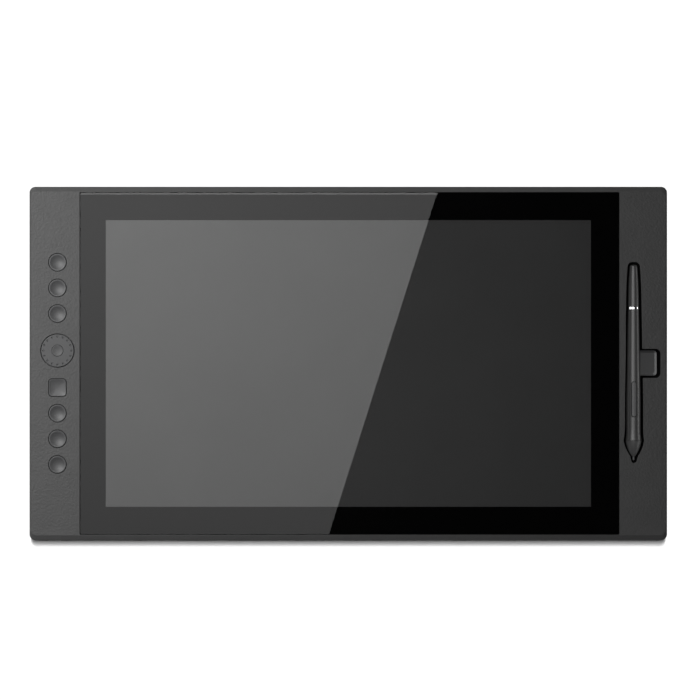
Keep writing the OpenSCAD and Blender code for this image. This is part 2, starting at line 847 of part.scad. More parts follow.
module power_switch() {
    front_y = power_stem_y + power_entry;
    color("#1c1d20") difference() {
        translate([power_x, front_y - power_switch_d / 2, 0])
            block(power_switch_w, power_switch_d, main_board_top, main_board_top + power_switch_h);
        translate([power_x, front_y + cut, socket_z]) rotate([90, 0, 0])
            cylinder(r = power_stem_r + 0.15, h = cut + power_entry + power_travel + 0.6);
    }
}

module power_key() {
    color("#2f3032") translate([power_x, 0, socket_z]) {
        wall_stadium(power_l, power_h, power_flange_y - overlap, power_face_y);
        wall_stadium(power_l + 2 * power_flange, power_h + 2 * power_flange,
                     power_flange_y - power_flange_t, power_flange_y);
        translate([0, power_flange_y - power_flange_t + overlap, 0]) rotate([90, 0, 0])
            cylinder(r = power_stem_r, h = power_stem_l + overlap);
    }
}

// Key column

module key_board() {
    color("#17442b") difference() {
        translate([key_x, 0, 0])
            plate(key_board_w, key_board_h, key_board_r, key_board_z, key_board_top);
        posts(key_board_bosses, small_screw_r + head_gap / 2, key_board_z - cut, key_board_top + cut);
    }
}

module key_switches() {
    spots = concat(round_key_y, [square_y, dial_y]);
    color("#1c1d20") for (y = spots) translate([key_x, y, 0]) difference() {
        block(switch_w, switch_w, key_board_top, switch_top);
        translate([0, 0, switch_top - switch_bore_depth])
            cylinder(r = switch_bore_r, h = switch_bore_depth + cut);
    }
}

module key_board_screws() {
    color("#8d9094")
        screws_up(key_board_bosses, small_screw_r, small_head_r, small_head_h,
                  key_board_z, key_board_top + small_bite);
}

key_top = top_z + key_proud;
key_edge = 0.35;

// A cap, its retaining flange and the stem that enters the switch, as one turned shape
module round_cap(r, flange_low, flange_high) {
    flange_r = r + flange_w;
    rotate_extrude() polygon([
        [0, stem_z], [stem_r, stem_z], [stem_r, flange_low],
        [flange_r, flange_low], [flange_r, flange_high], [r, flange_high],
        [r, key_top - key_edge], [r - key_edge, key_top], [0, key_top]
    ]);
}

// Ball whose surface cuts a hollow of that radius and depth into a face at z
module dish_ball(r, depth, z) {
    ball_r = (r * r + depth * depth) / (2 * depth);
    translate([0, 0, z - depth + ball_r]) sphere(r = ball_r, $fn = 96);
}

module round_key(i) {
    color("#3f4042") translate([key_x, round_key_y[i], 0]) difference() {
        round_cap(key_r, flange_z, flange_top_z);
        dish_ball(dish_r, dish_depth, key_top);
    }
}

module square_key() {
    flange = square_w + 2 * flange_w;
    color("#3f4042") translate([key_x, square_y, 0]) difference() {
        union() {
            plate(square_w, square_w, square_corner_r, flange_z, key_top - key_edge);
            plate(square_w - 2 * key_edge, square_w - 2 * key_edge, square_corner_r - key_edge,
                  flange_z, key_top);
            plate(flange, flange, square_corner_r, flange_z, flange_top_z);
            translate([0, 0, stem_z]) cylinder(r = stem_r, h = flange_z - stem_z + overlap);
        }
        dish_ball(square_hollow_r, dish_depth, key_top);
    }
}

// Dial, its push button and the encoder that reads it
skirt_r0 = 6;
skirt_r1 = 8.7;
rotor_gap = 0.25;
encoder_r = 10.4;
encoder_bore_r = 4.7;
encoder_floor = 1;
rotor_z = key_board_top + encoder_floor + rotor_gap;
skirt_z = switch_top + 0.3;
dial_under_z = flange_top_z - flange_t / 2;

module dial_ring() {
    inner_r = hub_r + hub_gap;
    color("#3b3c3e") translate([key_x, dial_y, 0]) difference() {
        rotate_extrude() polygon([
            [inner_r, dial_under_z], [skirt_r0, dial_under_z], [skirt_r0, skirt_z],
            [skirt_r1, skirt_z], [skirt_r1, flange_z], [dial_r + flange_w, flange_z],
            [dial_r + flange_w, flange_top_z], [dial_r, flange_top_z],
            [dial_r, key_top - key_edge], [dial_r - key_edge, key_top],
            [inner_r + key_edge, key_top], [inner_r, key_top - key_edge]
        ]);
        for (i = [0 : dimple_count - 1]) rotate(i * 360 / dimple_count)
            translate([dimple_ring_r, 0, 0]) dish_ball(dimple_r, dimple_depth, key_top);
    }
}

module encoder_rotor() {
    color("#caa24a") translate([key_x, dial_y, 0]) difference() {
        translate([0, 0, rotor_z]) cylinder(r = skirt_r1, h = skirt_z - rotor_z);
        translate([0, 0, rotor_z - cut]) cylinder(r = skirt_r0, h = skirt_z - rotor_z + 2 * cut);
    }
}

module dial_encoder() {
    color("#202124") translate([key_x, dial_y, 0]) rotate_extrude() polygon([
        [encoder_bore_r, key_board_top], [encoder_r, key_board_top], [encoder_r, switch_top],
        [skirt_r1 + rotor_gap, switch_top], [skirt_r1 + rotor_gap, key_board_top + encoder_floor],
        [skirt_r0 - rotor_gap, key_board_top + encoder_floor], [skirt_r0 - rotor_gap, switch_top],
        [encoder_bore_r, switch_top]
    ]);
}

module dial_button() {
    high = dial_under_z - flange_gap;
    low = switch_top + key_travel + flange_gap;
    hollow_depth = 0.25;
    color("#3b3c3e") translate([key_x, dial_y, 0]) difference() {
        round_cap(hub_r, low, high);
        dish_ball(hub_r - 2 * key_edge, hollow_depth, key_top);
    }
}

// Pen tray

module tray_shell() {
    intersection() {
        along_pen() rotate_extrude() polygon(grown_outline(slot_end, slot_end));
        translate([pen_x, 0, 0]) block(pen_strip_w, body_h, floor_z, face_z);
    }
    translate([0, 0, moat_z - tray_wall]) linear_extrude(face_z - moat_z + tray_wall) intersection() {
        notch_plan(tray_wall);
        translate([pen_x, -notch_l]) square([pen_strip_w, 2 * notch_l]);
    }
}

module ear_arm(x0, x1, y0, y1) {
    translate([x0, y0, tray_ear_z - tray_ear_t]) cube([x1 - x0, y1 - y0, tray_ear_t]);
}

// Ears that carry the tray on the frame's bosses, and arms that join them to the trough
module ears_and_arms() {
    posts(tray_ears, tray_ear_r, tray_ear_z - tray_ear_t, tray_ear_z);
    for (y = [-tray_ear_y, tray_ear_y])
        ear_arm(pen_x, pen_x + tray_ear_out, y - tray_ear_r, y + tray_ear_r);
    ear_arm(pen_x - tray_ear_r, pen_x + tray_ear_r, near_ear_y, nib_y + bulge_s);
    ear_arm(pen_x - tray_ear_r, pen_x + tray_ear_r, nib_y + pen_l - tray_end_arm, far_ear_y);
}

// The finger rest stands in the notch with a groove on three sides
module finger_rest() {
    x1 = notch_x - moat_right;
    y0 = -notch_l / 2 + moat_near;
    y1 = notch_l / 2 - moat_far;
    l = x1 - pen_x + 2 * notch_r;
    translate([x1 - l / 2, (y0 + y1) / 2, 0]) hull() {
        plate(l, y1 - y0, rest_r, moat_z - overlap, rest_z - rest_fall, $fn = hull_fn);
        plate(l - 2 * rest_bevel, y1 - y0 - 2 * rest_bevel, rest_r - rest_bevel / 2,
              rest_z - overlap, rest_z, $fn = hull_fn);
    }
}

module pen_tray() {
    color("#101011") difference() {
        union() {
            difference() {
                union() {
                    tray_shell();
                    ears_and_arms();
                }
                translate([0, 0, moat_z]) linear_extrude(top_z) intersection() {
                    notch_plan(0);
                    translate([pen_x, -notch_l]) square([pen_strip_w, 2 * notch_l]);
                }
            }
            intersection() {
                finger_rest();
                translate([pen_x + pen_strip_w / 2, 0, 0]) block(pen_strip_w, body_h, floor_z, top_z);
            }
        }
        difference() {
            along_pen() rotate_extrude() polygon(grown_outline(slot_gap, slot_gap));
            for (s = saddles) translate([pen_x, nib_y + s, 0])
                block(4 * bulge_r, saddle_l, floor_z, pen_z - grip_r / 3);
        }
        along_pen() rotate_extrude() polygon(grown_outline(saddle_gap, saddle_gap));
        posts(tray_ears, small_screw_r + head_gap / 2, tray_ear_z - tray_ear_t - cut, tray_ear_z + cut);
    }
}

module tray_screws() {
    color("#8d9094")
        screws_up(tray_ears, small_screw_r, small_head_r, small_head_h,
                  tray_ear_z - tray_ear_t, tray_ear_z + small_bite);
}

// Pen

module pen_tube(r, s0, s1) {
    along_pen() translate([0, 0, s0]) cylinder(r = r, h = s1 - s0);
}

module pen_turned(outline) {
    along_pen() rotate_extrude() polygon(outline);
}

module pen_nib() {
    end_s = cell_s + nib_entry;
    color("#1a1a1b") pen_turned(concat(
        [for (a = [0 : 15 : 90]) [nib_r * sin(a), nib_r * (1 - cos(a))]],
        [[nib_r, end_s], [0, end_s]]
    ));
}

module pen_nose() {
    spigot_r = barrel_bore_r - spigot_gap;
    bore_r = nib_r + nib_gap;
    end_s = bulge_s + spigot_l;
    color("#2a2b2d") pen_turned(concat(
        [[bore_r, nib_out]],
        [for (s = nose_steps) [nose_radius(s), s]],
        [[spigot_r, bulge_s], [spigot_r, end_s], [nose_cavity_r, end_s],
         [nose_cavity_r, nose_cavity_s], [bore_r, nose_cavity_s]]
    ));
}

module rocker_plan(gap) {
    rotate(90) stadium(rocker_l + 2 * gap, rocker_w + 2 * gap);
}

trunnion_z = pen_z + grip_r - trunnion_drop;

module trunnion(gap) {
    translate([pen_x, nib_y + rocker_s, trunnion_z]) rotate([0, 90, 0])
        cylinder(r = trunnion_r + gap, h = trunnion_l + 2 * gap, center = true, $fn = 32);
}

module pen_barrel() {
    color("#323335") difference() {
        pen_turned(concat(
            [[barrel_bore_r, bulge_s], [bulge_r, bulge_s]],
            [for (s = neck_steps) [neck_radius(s), s]],
            [[grip_r, taper_s], [barrel_radius(ring_s), ring_s], [tail_bore_r, ring_s],
             [tail_bore_r, barrel_step_s], [barrel_bore_r, barrel_step_s]]
        ));
        translate([pen_x, nib_y + rocker_s, pen_z]) linear_extrude(2 * grip_r) rocker_plan(rocker_gap);
        trunnion(trunnion_gap);
    }
}

module pen_rocker() {
    top = pen_z + grip_r + rocker_proud;
    under = pen_z + grip_r - rocker_depth;
    crown = 0.3;
    color("#27282a") {
        translate([pen_x, nib_y + rocker_s, 0]) {
            translate([0, 0, under]) linear_extrude(top - crown - under) rocker_plan(0);
            translate([0, 0, under]) linear_extrude(top - under) rocker_plan(-crown);
            for (y = pen_switch_offsets) translate([0, y, pen_switch_top + nub_gap])
                cylinder(r = nub_r, h = under - pen_switch_top - nub_gap + overlap);
        }
        trunnion(0);
    }
}

module pen_ring() {
    color("#e9e9ea") pen_turned([
        [tail_bore_r, ring_s], [barrel_radius(ring_s), ring_s],
        [barrel_radius(ring_s + ring_w), ring_s + ring_w], [tail_bore_r, ring_s + ring_w]
    ]);
}

module pen_tail() {
    spigot_r = tail_bore_r - spigot_gap;
    start_s = ring_s - tail_spigot_l;
    hollow_s = pen_l - tail_end_t;
    color("#323335") pen_turned(concat(
        [[tail_hollow_r, start_s], [spigot_r, start_s], [spigot_r, ring_s + ring_w],
         [barrel_radius(ring_s + ring_w), ring_s + ring_w]],
        [for (s = tail_steps) [barrel_radius(s), s]],
        [for (a = [22.5 : 22.5 : 90]) tail_corner(a, 0, 0)],
        [[0, pen_l], [0, hollow_s], [tail_hollow_r, hollow_s]]
    ));
}

// Electronics in the pen
pen_board_s = cell_s + cell_l;
pen_board_end = ring_s - tail_spigot_l - pen_board_end_gap;
pen_board_top = pen_z + pen_board_t / 2;
pen_switch_top = pen_board_top + pen_switch_h;
pen_switch_offsets = [-8, 8];

module pen_board() {
    color("#17442b") translate([pen_x, nib_y + (pen_board_s + pen_board_end) / 2, 0])
        block(pen_board_w, pen_board_end - pen_board_s, pen_z - pen_board_t / 2, pen_board_top);
}

module pen_switches() {
    color("#1c1d20") for (y = pen_switch_offsets) translate([pen_x, nib_y + rocker_s + y, 0])
        block(pen_switch_w, pen_switch_w, pen_board_top, pen_switch_top);
}

module pen_ferrite() {
    color("#3a3432") difference() {
        pen_tube(ferrite_r, nose_cavity_s, nose_cavity_s + ferrite_l);
        pen_tube(nib_r + 2 * nib_gap, nose_cavity_s - cut, nose_cavity_s + ferrite_l + cut);
    }
}

module pen_coil() {
    start_s = nose_cavity_s + (ferrite_l - coil_l) / 2;
    color("#b5652a") difference() {
        pen_tube(coil_r, start_s, start_s + coil_l);
        pen_tube(ferrite_r, start_s - cut, start_s + coil_l + cut);
    }
}

module pressure_cell() {
    color("#c8c9cc") difference() {
        pen_tube(cell_r, cell_s, cell_s + cell_l);
        pen_tube(nib_r + nib_gap, cell_s - cut, cell_s + nib_entry + nib_travel + 0.5);
    }
}

front_frame();
rear_cover();
cover_glass();
border_print();
glass_tape();
lcd_cell();
optical_films();
light_guide();
reflector_sheet();
led_strip();
panel_chassis();
digitizer_board();
shield_plate();
panel_screws();
main_board();
board_chips();
board_connectors();
usb_c_shell();
usb_c_tongue();
power_switch();
board_screws();
key_board();
key_switches();
key_board_screws();
dial_encoder();
panel_cable();
sensor_cable();
key_cable();
pen_tray();
tray_screws();
case_screws();
rubber_feet();
for (i = [0 : len(round_key_y) - 1])
    round_key(i);
square_key();
dial_ring();
encoder_rotor();
dial_button();
power_key();
pen_barrel();
pen_nose();
pen_ring();
pen_tail();
pen_nib();
pen_rocker();
pen_board();
pen_switches();
pen_ferrite();
pen_coil();
pressure_cell();
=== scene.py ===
import json
import math

import bmesh
import bpy
import numpy as np
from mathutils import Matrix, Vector
from mathutils.geometry import delaunay_2d_cdt

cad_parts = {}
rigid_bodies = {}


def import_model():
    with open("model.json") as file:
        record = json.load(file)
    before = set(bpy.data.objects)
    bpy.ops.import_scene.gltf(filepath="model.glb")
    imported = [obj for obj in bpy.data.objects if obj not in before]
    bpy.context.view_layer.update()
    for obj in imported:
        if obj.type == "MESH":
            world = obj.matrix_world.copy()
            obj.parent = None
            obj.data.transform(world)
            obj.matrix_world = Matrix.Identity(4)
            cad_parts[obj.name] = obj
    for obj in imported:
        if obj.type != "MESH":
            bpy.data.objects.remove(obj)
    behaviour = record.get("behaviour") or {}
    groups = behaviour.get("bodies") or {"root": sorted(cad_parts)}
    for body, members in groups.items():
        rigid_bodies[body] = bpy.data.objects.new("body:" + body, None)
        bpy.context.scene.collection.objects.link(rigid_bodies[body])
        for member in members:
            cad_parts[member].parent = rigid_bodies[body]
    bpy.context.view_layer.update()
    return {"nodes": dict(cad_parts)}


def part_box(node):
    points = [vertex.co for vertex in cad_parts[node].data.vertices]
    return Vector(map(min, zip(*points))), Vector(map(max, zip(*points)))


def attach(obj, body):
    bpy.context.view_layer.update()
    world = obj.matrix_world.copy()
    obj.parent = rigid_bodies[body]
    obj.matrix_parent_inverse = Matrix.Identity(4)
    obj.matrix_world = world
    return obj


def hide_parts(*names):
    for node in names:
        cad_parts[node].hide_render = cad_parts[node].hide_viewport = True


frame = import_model()
print("frame loaded:", len(frame["nodes"]), "nodes")

mm = 0.001
support = 0.08  # width of the flat band that keeps a face's shading even beside a rounded edge
cornerSteps = 12  # points on each corner of a rounded rectangle


# lowest and highest corner of a CAD node at rest, in millimetres
def nodeBox(node):
    low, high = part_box(node)
    return np.array(low) / mm, np.array(high) / mm


# middle of a CAD node's box in plan, in millimetres
def nodeMiddle(node):
    low, high = nodeBox(node)
    return (low[:2] + high[:2]) / 2


# arc: centre plus radius times cosine and sine of evenly spaced angles
def arc(cx, cy, r, start, end, count):
    a = np.radians(np.linspace(start, end, count))
    return np.column_stack([cx + r * np.cos(a), cy + r * np.sin(a)])


# circle: a full arc without its repeated last point
def circle(cx, cy, r, count=96):
    return arc(cx, cy, r, 0, 360, count + 1)[:-1]


# rectangle with a quarter circle at each corner; radii from lower right, counter-clockwise
def roundedBox(x0, x1, y0, y1, radii):
    r = np.broadcast_to(radii, 4)
    return np.concatenate([
        arc(x1 - r[0], y0 + r[0], r[0], -90, 0, cornerSteps),
        arc(x1 - r[1], y1 - r[1], r[1], 0, 90, cornerSteps),
        arc(x0 + r[2], y1 - r[2], r[2], 90, 180, cornerSteps),
        arc(x0 + r[3], y0 + r[3], r[3], 180, 270, cornerSteps),
    ])


# rounded rectangle about a middle point, drawn in on both axes by its insets
def roundedRect(middle, w, h, r, insetX=0.0, insetY=0.0):
    x, y = w / 2 - insetX, h / 2 - insetY
    return roundedBox(middle[0] - x, middle[0] + x, middle[1] - y, middle[1] + y, r)


# slot shape: two half circles joined by straight sides, longer along x or along y
def stadium(middle, length, width, count=24, alongY=False):
    half, r = (length - width) / 2, width / 2
    loop = np.concatenate([arc(half, 0, r, -90, 90, count), arc(-half, 0, r, 90, 270, count)])
    if alongY:
        loop = np.column_stack([-loop[:, 1], loop[:, 0]])
    return loop + np.asarray(middle)


# quarter round: inset r(1 - cos a) and rise r sin a, from the side wall to the flat
def roundOver(r, count=7):
    a = np.radians(np.linspace(0, 90, count))
    return r * (1 - np.cos(a)), r * np.sin(a)


# corner of a profile softened by a quadratic curve from one point to another, pulled to the corner
def softCorner(a, corner, b, count=6):
    t = np.linspace(0, 1, count)[:, None]
    return (1 - t) ** 2 * np.array(a) + 2 * t * (1 - t) * np.array(corner) + t ** 2 * np.array(b)


# quads between neighbouring rows of a grid, wrapped round the columns
def gridQuads(rows, columns):
    i, j = np.meshgrid(np.arange(rows - 1) * columns, np.arange(columns), indexing="ij")
    k = (j + 1) % columns
    return np.stack([i + j, i + k, i + columns + k, i + columns + j], axis=-1)


# closed loops of equal count set at heights, neighbours joined by quads; open lists the quads left out
def stackLoops(loops, heights, open=()):
    loops = np.asarray(loops, float)
    rows, columns = loops.shape[:2]
    z = np.broadcast_to(np.asarray(heights, float).reshape(rows, -1), (rows, columns))
    quads = gridQuads(rows, columns)
    keep = np.ones(quads.shape[:2], bool)
    for row, column in open:
        keep[row, column] = False
    return np.dstack([loops, z]).reshape(-1, 3), quads[keep]


# even-odd test: a point is inside a loop if a ray to its right crosses the loop an odd number of times
def insideLoop(points, loop):
    a, b = loop, np.roll(loop, -1, axis=0)
    x, y = points[:, :1], points[:, 1:]
    spans = (a[:, 1] > y) != (b[:, 1] > y)
    slope = (b[:, 0] - a[:, 0]) / np.where(b[:, 1] == a[:, 1], 1e-12, b[:, 1] - a[:, 1])
    return (spans & (x < a[:, 0] + (y - a[:, 1]) * slope)).sum(1) % 2 == 1


# flat face between an outer loop and holes: constrained triangles with middles inside it and in no hole
def fillFlat(outer, holes, height):
    loops = [outer, *holes]
    points = np.concatenate(loops)
    starts = np.cumsum([0] + [len(loop) for loop in loops])
    edges = [np.column_stack([np.arange(n), np.roll(np.arange(n), -1)]) + start
             for n, start in zip(map(len, loops), starts)]
    found = delaunay_2d_cdt([Vector(p) for p in points], np.concatenate(edges).tolist(), [], 1, 1e-6)
    flat = np.array([points[own[0]] if own else tuple(p) for p, own in zip(found[0], found[3])])
    triangles = np.array(found[2])
    middles = flat[triangles].mean(1)
    keep = insideLoop(middles, outer)
    for hole in holes:
        keep &= ~insideLoop(middles, hole)
    return np.column_stack([flat, np.full(len(flat), height)]), triangles[keep]


# profile (radius, height) turned round the z axis through a middle point
def turned(profile, middle=(0, 0), count=96):
    profile = np.asarray(profile, float)
    a = np.linspace(0, 2 * np.pi, count, endpoint=False)
    x = middle[0] + profile[:, :1] * np.cos(a)
    y = middle[1] + profile[:, :1] * np.sin(a)
    z = np.broadcast_to(profile[:, 1:], x.shape)
    return np.dstack([x, y, z]).reshape(-1, 3), gridQuads(len(profile), count).reshape(-1, 4)


# closed profile: its first point is repeated at the end
def closed(profile):
    profile = np.asarray(profile, float)
    return np.concatenate([profile, profile[:1]])


# swaps a patch's height axis with y, for shapes that stand in the far wall
def standUp(patch):
    points, faces = patch
    return points[:, [0, 2, 1]], faces


# rings round a hole: wall straight up, then a round-over of radius r out to the face, with a support band
def holeRings(loopAt, under, top, r):
    inset, rise = roundOver(r)
    offsets = np.concatenate([[0, 0], inset, [r + support]])
    heights = np.concatenate([[under, top - r - support], top - r + rise, [top]])
    return stackLoops([loopAt(o) for o in offsets], heights)


# straight wall on a loop from one height to another, closed there
def pocket(loop, start, end):
    return [stackLoops([loop, loop], [start, end]), fillFlat(loop, [], end)]


# stacked loops with a flat face at each end
def capped(loops, heights):
    ends = [fillFlat(loops[i], [], np.mean(heights[i])) for i in (0, -1)]
    return [stackLoops(loops, heights), *ends]


# object for some data, linked into the scene
def addObject(name, data):
    obj = bpy.data.objects.new(name, data)
    bpy.context.scene.collection.objects.link(obj)
    return obj


# joins patches into one mesh: points welded, faces turned outwards, edges sharper than an angle kept crisp;
# its one material slot holds the look's finish
def makePiece(name, patches, lookName, body, nodes=(), slotName=None, sharp=32):
    starts = np.cumsum([0] + [len(points) for points, faces in patches])
    points = np.concatenate([points for points, faces in patches]) * mm
    faces = [face for (p, f), start in zip(patches, starts) for face in (f + start).tolist()]
    mesh = bpy.data.meshes.new(name)
    mesh.from_pydata(points.tolist(), [], faces)
    work = bmesh.new()
    work.from_mesh(mesh)
    bmesh.ops.remove_doubles(work, verts=work.verts, dist=2e-6)
    bmesh.ops.recalc_face_normals(work, faces=work.faces)
    loose = sum(1 for edge in work.edges if len(edge.link_faces) != 2)
    work.to_mesh(mesh)
    work.free()
    mesh.shade_smooth()
    mesh.set_sharp_from_angle(angle=math.radians(sharp))
    piece = addObject(name, mesh)
    mesh.materials.append(looks[lookName])
    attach(piece, body)
    if nodes:
        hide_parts(*nodes)
    slotName = slotName or lookName
    print("piece", name, len(mesh.polygons), "faces,", loose, "open edges")


# feeds a node: attributes are set, and inputs are linked if they are given a socket or else set
def feed(tree, node, *numbered, **named):
    for key in [key for key in named if hasattr(node, key)]:
        setattr(node, key, named.pop(key))
    for key, value in [*enumerate(numbered), *named.items()]:
        socket = node.inputs[key if isinstance(key, int) else key.replace("_", " ")]
        if isinstance(value, bpy.types.NodeSocket):
            tree.links.new(value, socket)
        else:
            socket.default_value = value
    return node


# adds a node and feeds it
def addNode(tree, kind, *numbered, **named):
    return feed(tree, tree.nodes.new("ShaderNode" + kind), *numbered, **named)


# remaps a source from one span, 0 to 1 if none is given, to another
def spanOf(tree, source, low, high, start=0.0, end=1.0, **more):
    limits = dict(From_Min=start, From_Max=end, To_Min=low, To_Max=high)
    return addNode(tree, "MapRange", Value=source, **limits, **more).outputs["Result"]


# 1 for rays that show the background plainly: those of the camera and those through glass
def seenRays(tree):
    path = addNode(tree, "LightPath").outputs
    rays = path["Is Camera Ray"], path["Is Transmission Ray"]
    return addNode(tree, "Math", *rays, operation="MAXIMUM").outputs["Value"]


# procedural finish: patchy tint from slow noise, roughness and bump from a grain of cells or fine noise
def finish(name, look):
    material = bpy.data.materials.new(name)
    material.use_nodes = True
    tree = material.node_tree
    place = addNode(tree, "TexCoord").outputs["Object"]
    stretch = addNode(tree, "Mapping", Vector=place, Scale=look.get("stretch", (1, 1, 1))).outputs["Vector"]
    patch = addNode(tree, "TexNoise", Vector=place, Scale=1 / (look.get("patch", 18) * mm), Detail=4.0)
    size = 1 / (look.get("grain", 0.5) * mm)
    fine = addNode(tree, "TexNoise", Vector=stretch, Scale=size, Detail=3.0, Roughness=0.6)
    height = fine.outputs["Fac"]
    if look.get("pebble"):
        warp = addNode(tree, "Mix", data_type="RGBA", blend_type="LINEAR_LIGHT", A=stretch,
                       B=fine.outputs["Color"], Factor=look["pebble"] * look["grain"] * mm)
        cells = addNode(tree, "TexVoronoi", feature="SMOOTH_F1", Vector=warp.outputs["Result"], Scale=size,
                        Smoothness=0.6)
        height = cells.outputs["Distance"]
    base, vary = np.broadcast_to(look["colour"], 3), look.get("vary", 0.08)
    tints = [(*np.clip(base * share, 0, 1), 1) for share in (1 - vary, 1 + vary)]
    tint = addNode(tree, "Mix", data_type="RGBA", Factor=patch.outputs["Fac"], A=tints[0], B=tints[1])
    if look.get("speck"):
        shade = spanOf(tree, height, 1 - look["speck"], 1 + look["speck"])
        tint = addNode(tree, "Mix", data_type="RGBA", blend_type="MULTIPLY", Factor=1.0,
                       A=tint.outputs["Result"], B=shade)
    shader = feed(tree, tree.nodes["Principled BSDF"], Base_Color=tint.outputs["Result"],
                  IOR=look.get("ior", 1.5), Metallic=look.get("metal", 0.0),
                  Roughness=spanOf(tree, height, *look["rough"]))
    if look.get("depth"):
        bump = addNode(tree, "Bump", invert=bool(look.get("pebble")), Height=height,
                       Distance=look["depth"] * mm, Strength=look.get("strength", 1.0))
        feed(tree, shader, Normal=bump.outputs["Normal"])
    return material


# material whose surface is the shader that a function builds in its tree from a look
def shadedBy(build, name, look):
    material = bpy.data.materials.new(name)
    material.use_nodes = True
    tree = material.node_tree
    tree.nodes.remove(tree.nodes["Principled BSDF"])
    tree.links.new(build(tree, look).outputs[0], tree.nodes["Material Output"].inputs["Surface"])
    return material


# clear sheet: a smeared see-through tint mixed with a sharp reflection by the outer side's Fresnel share
def clearShader(tree, look):
    place = addNode(tree, "TexCoord").outputs["Object"]
    smear = addNode(tree, "TexNoise", Vector=place, Scale=1 / (look["smear"] * mm), Detail=5.0,
                    Distortion=0.8)
    tints = [(t, t, t, 1) for t in look["tints"]]
    tint = addNode(tree, "Mix", data_type="RGBA", Factor=smear.outputs["Fac"], A=tints[0], B=tints[1])
    through = addNode(tree, "BsdfTransparent", Color=tint.outputs["Result"])
    gloss = addNode(tree, "BsdfGlossy", Color=(1, 1, 1, 1), Roughness=0.0)
    share = addNode(tree, "Fresnel", IOR=look["ior"]).outputs["Fac"]
    inner = addNode(tree, "NewGeometry").outputs["Backfacing"]
    front = addNode(tree, "Math", 1.0, inner, operation="SUBTRACT").outputs["Value"]
    outer = addNode(tree, "Math", share, front, operation="MULTIPLY").outputs["Value"]
    return addNode(tree, "MixShader", outer, through.outputs["BSDF"], gloss.outputs["BSDF"])


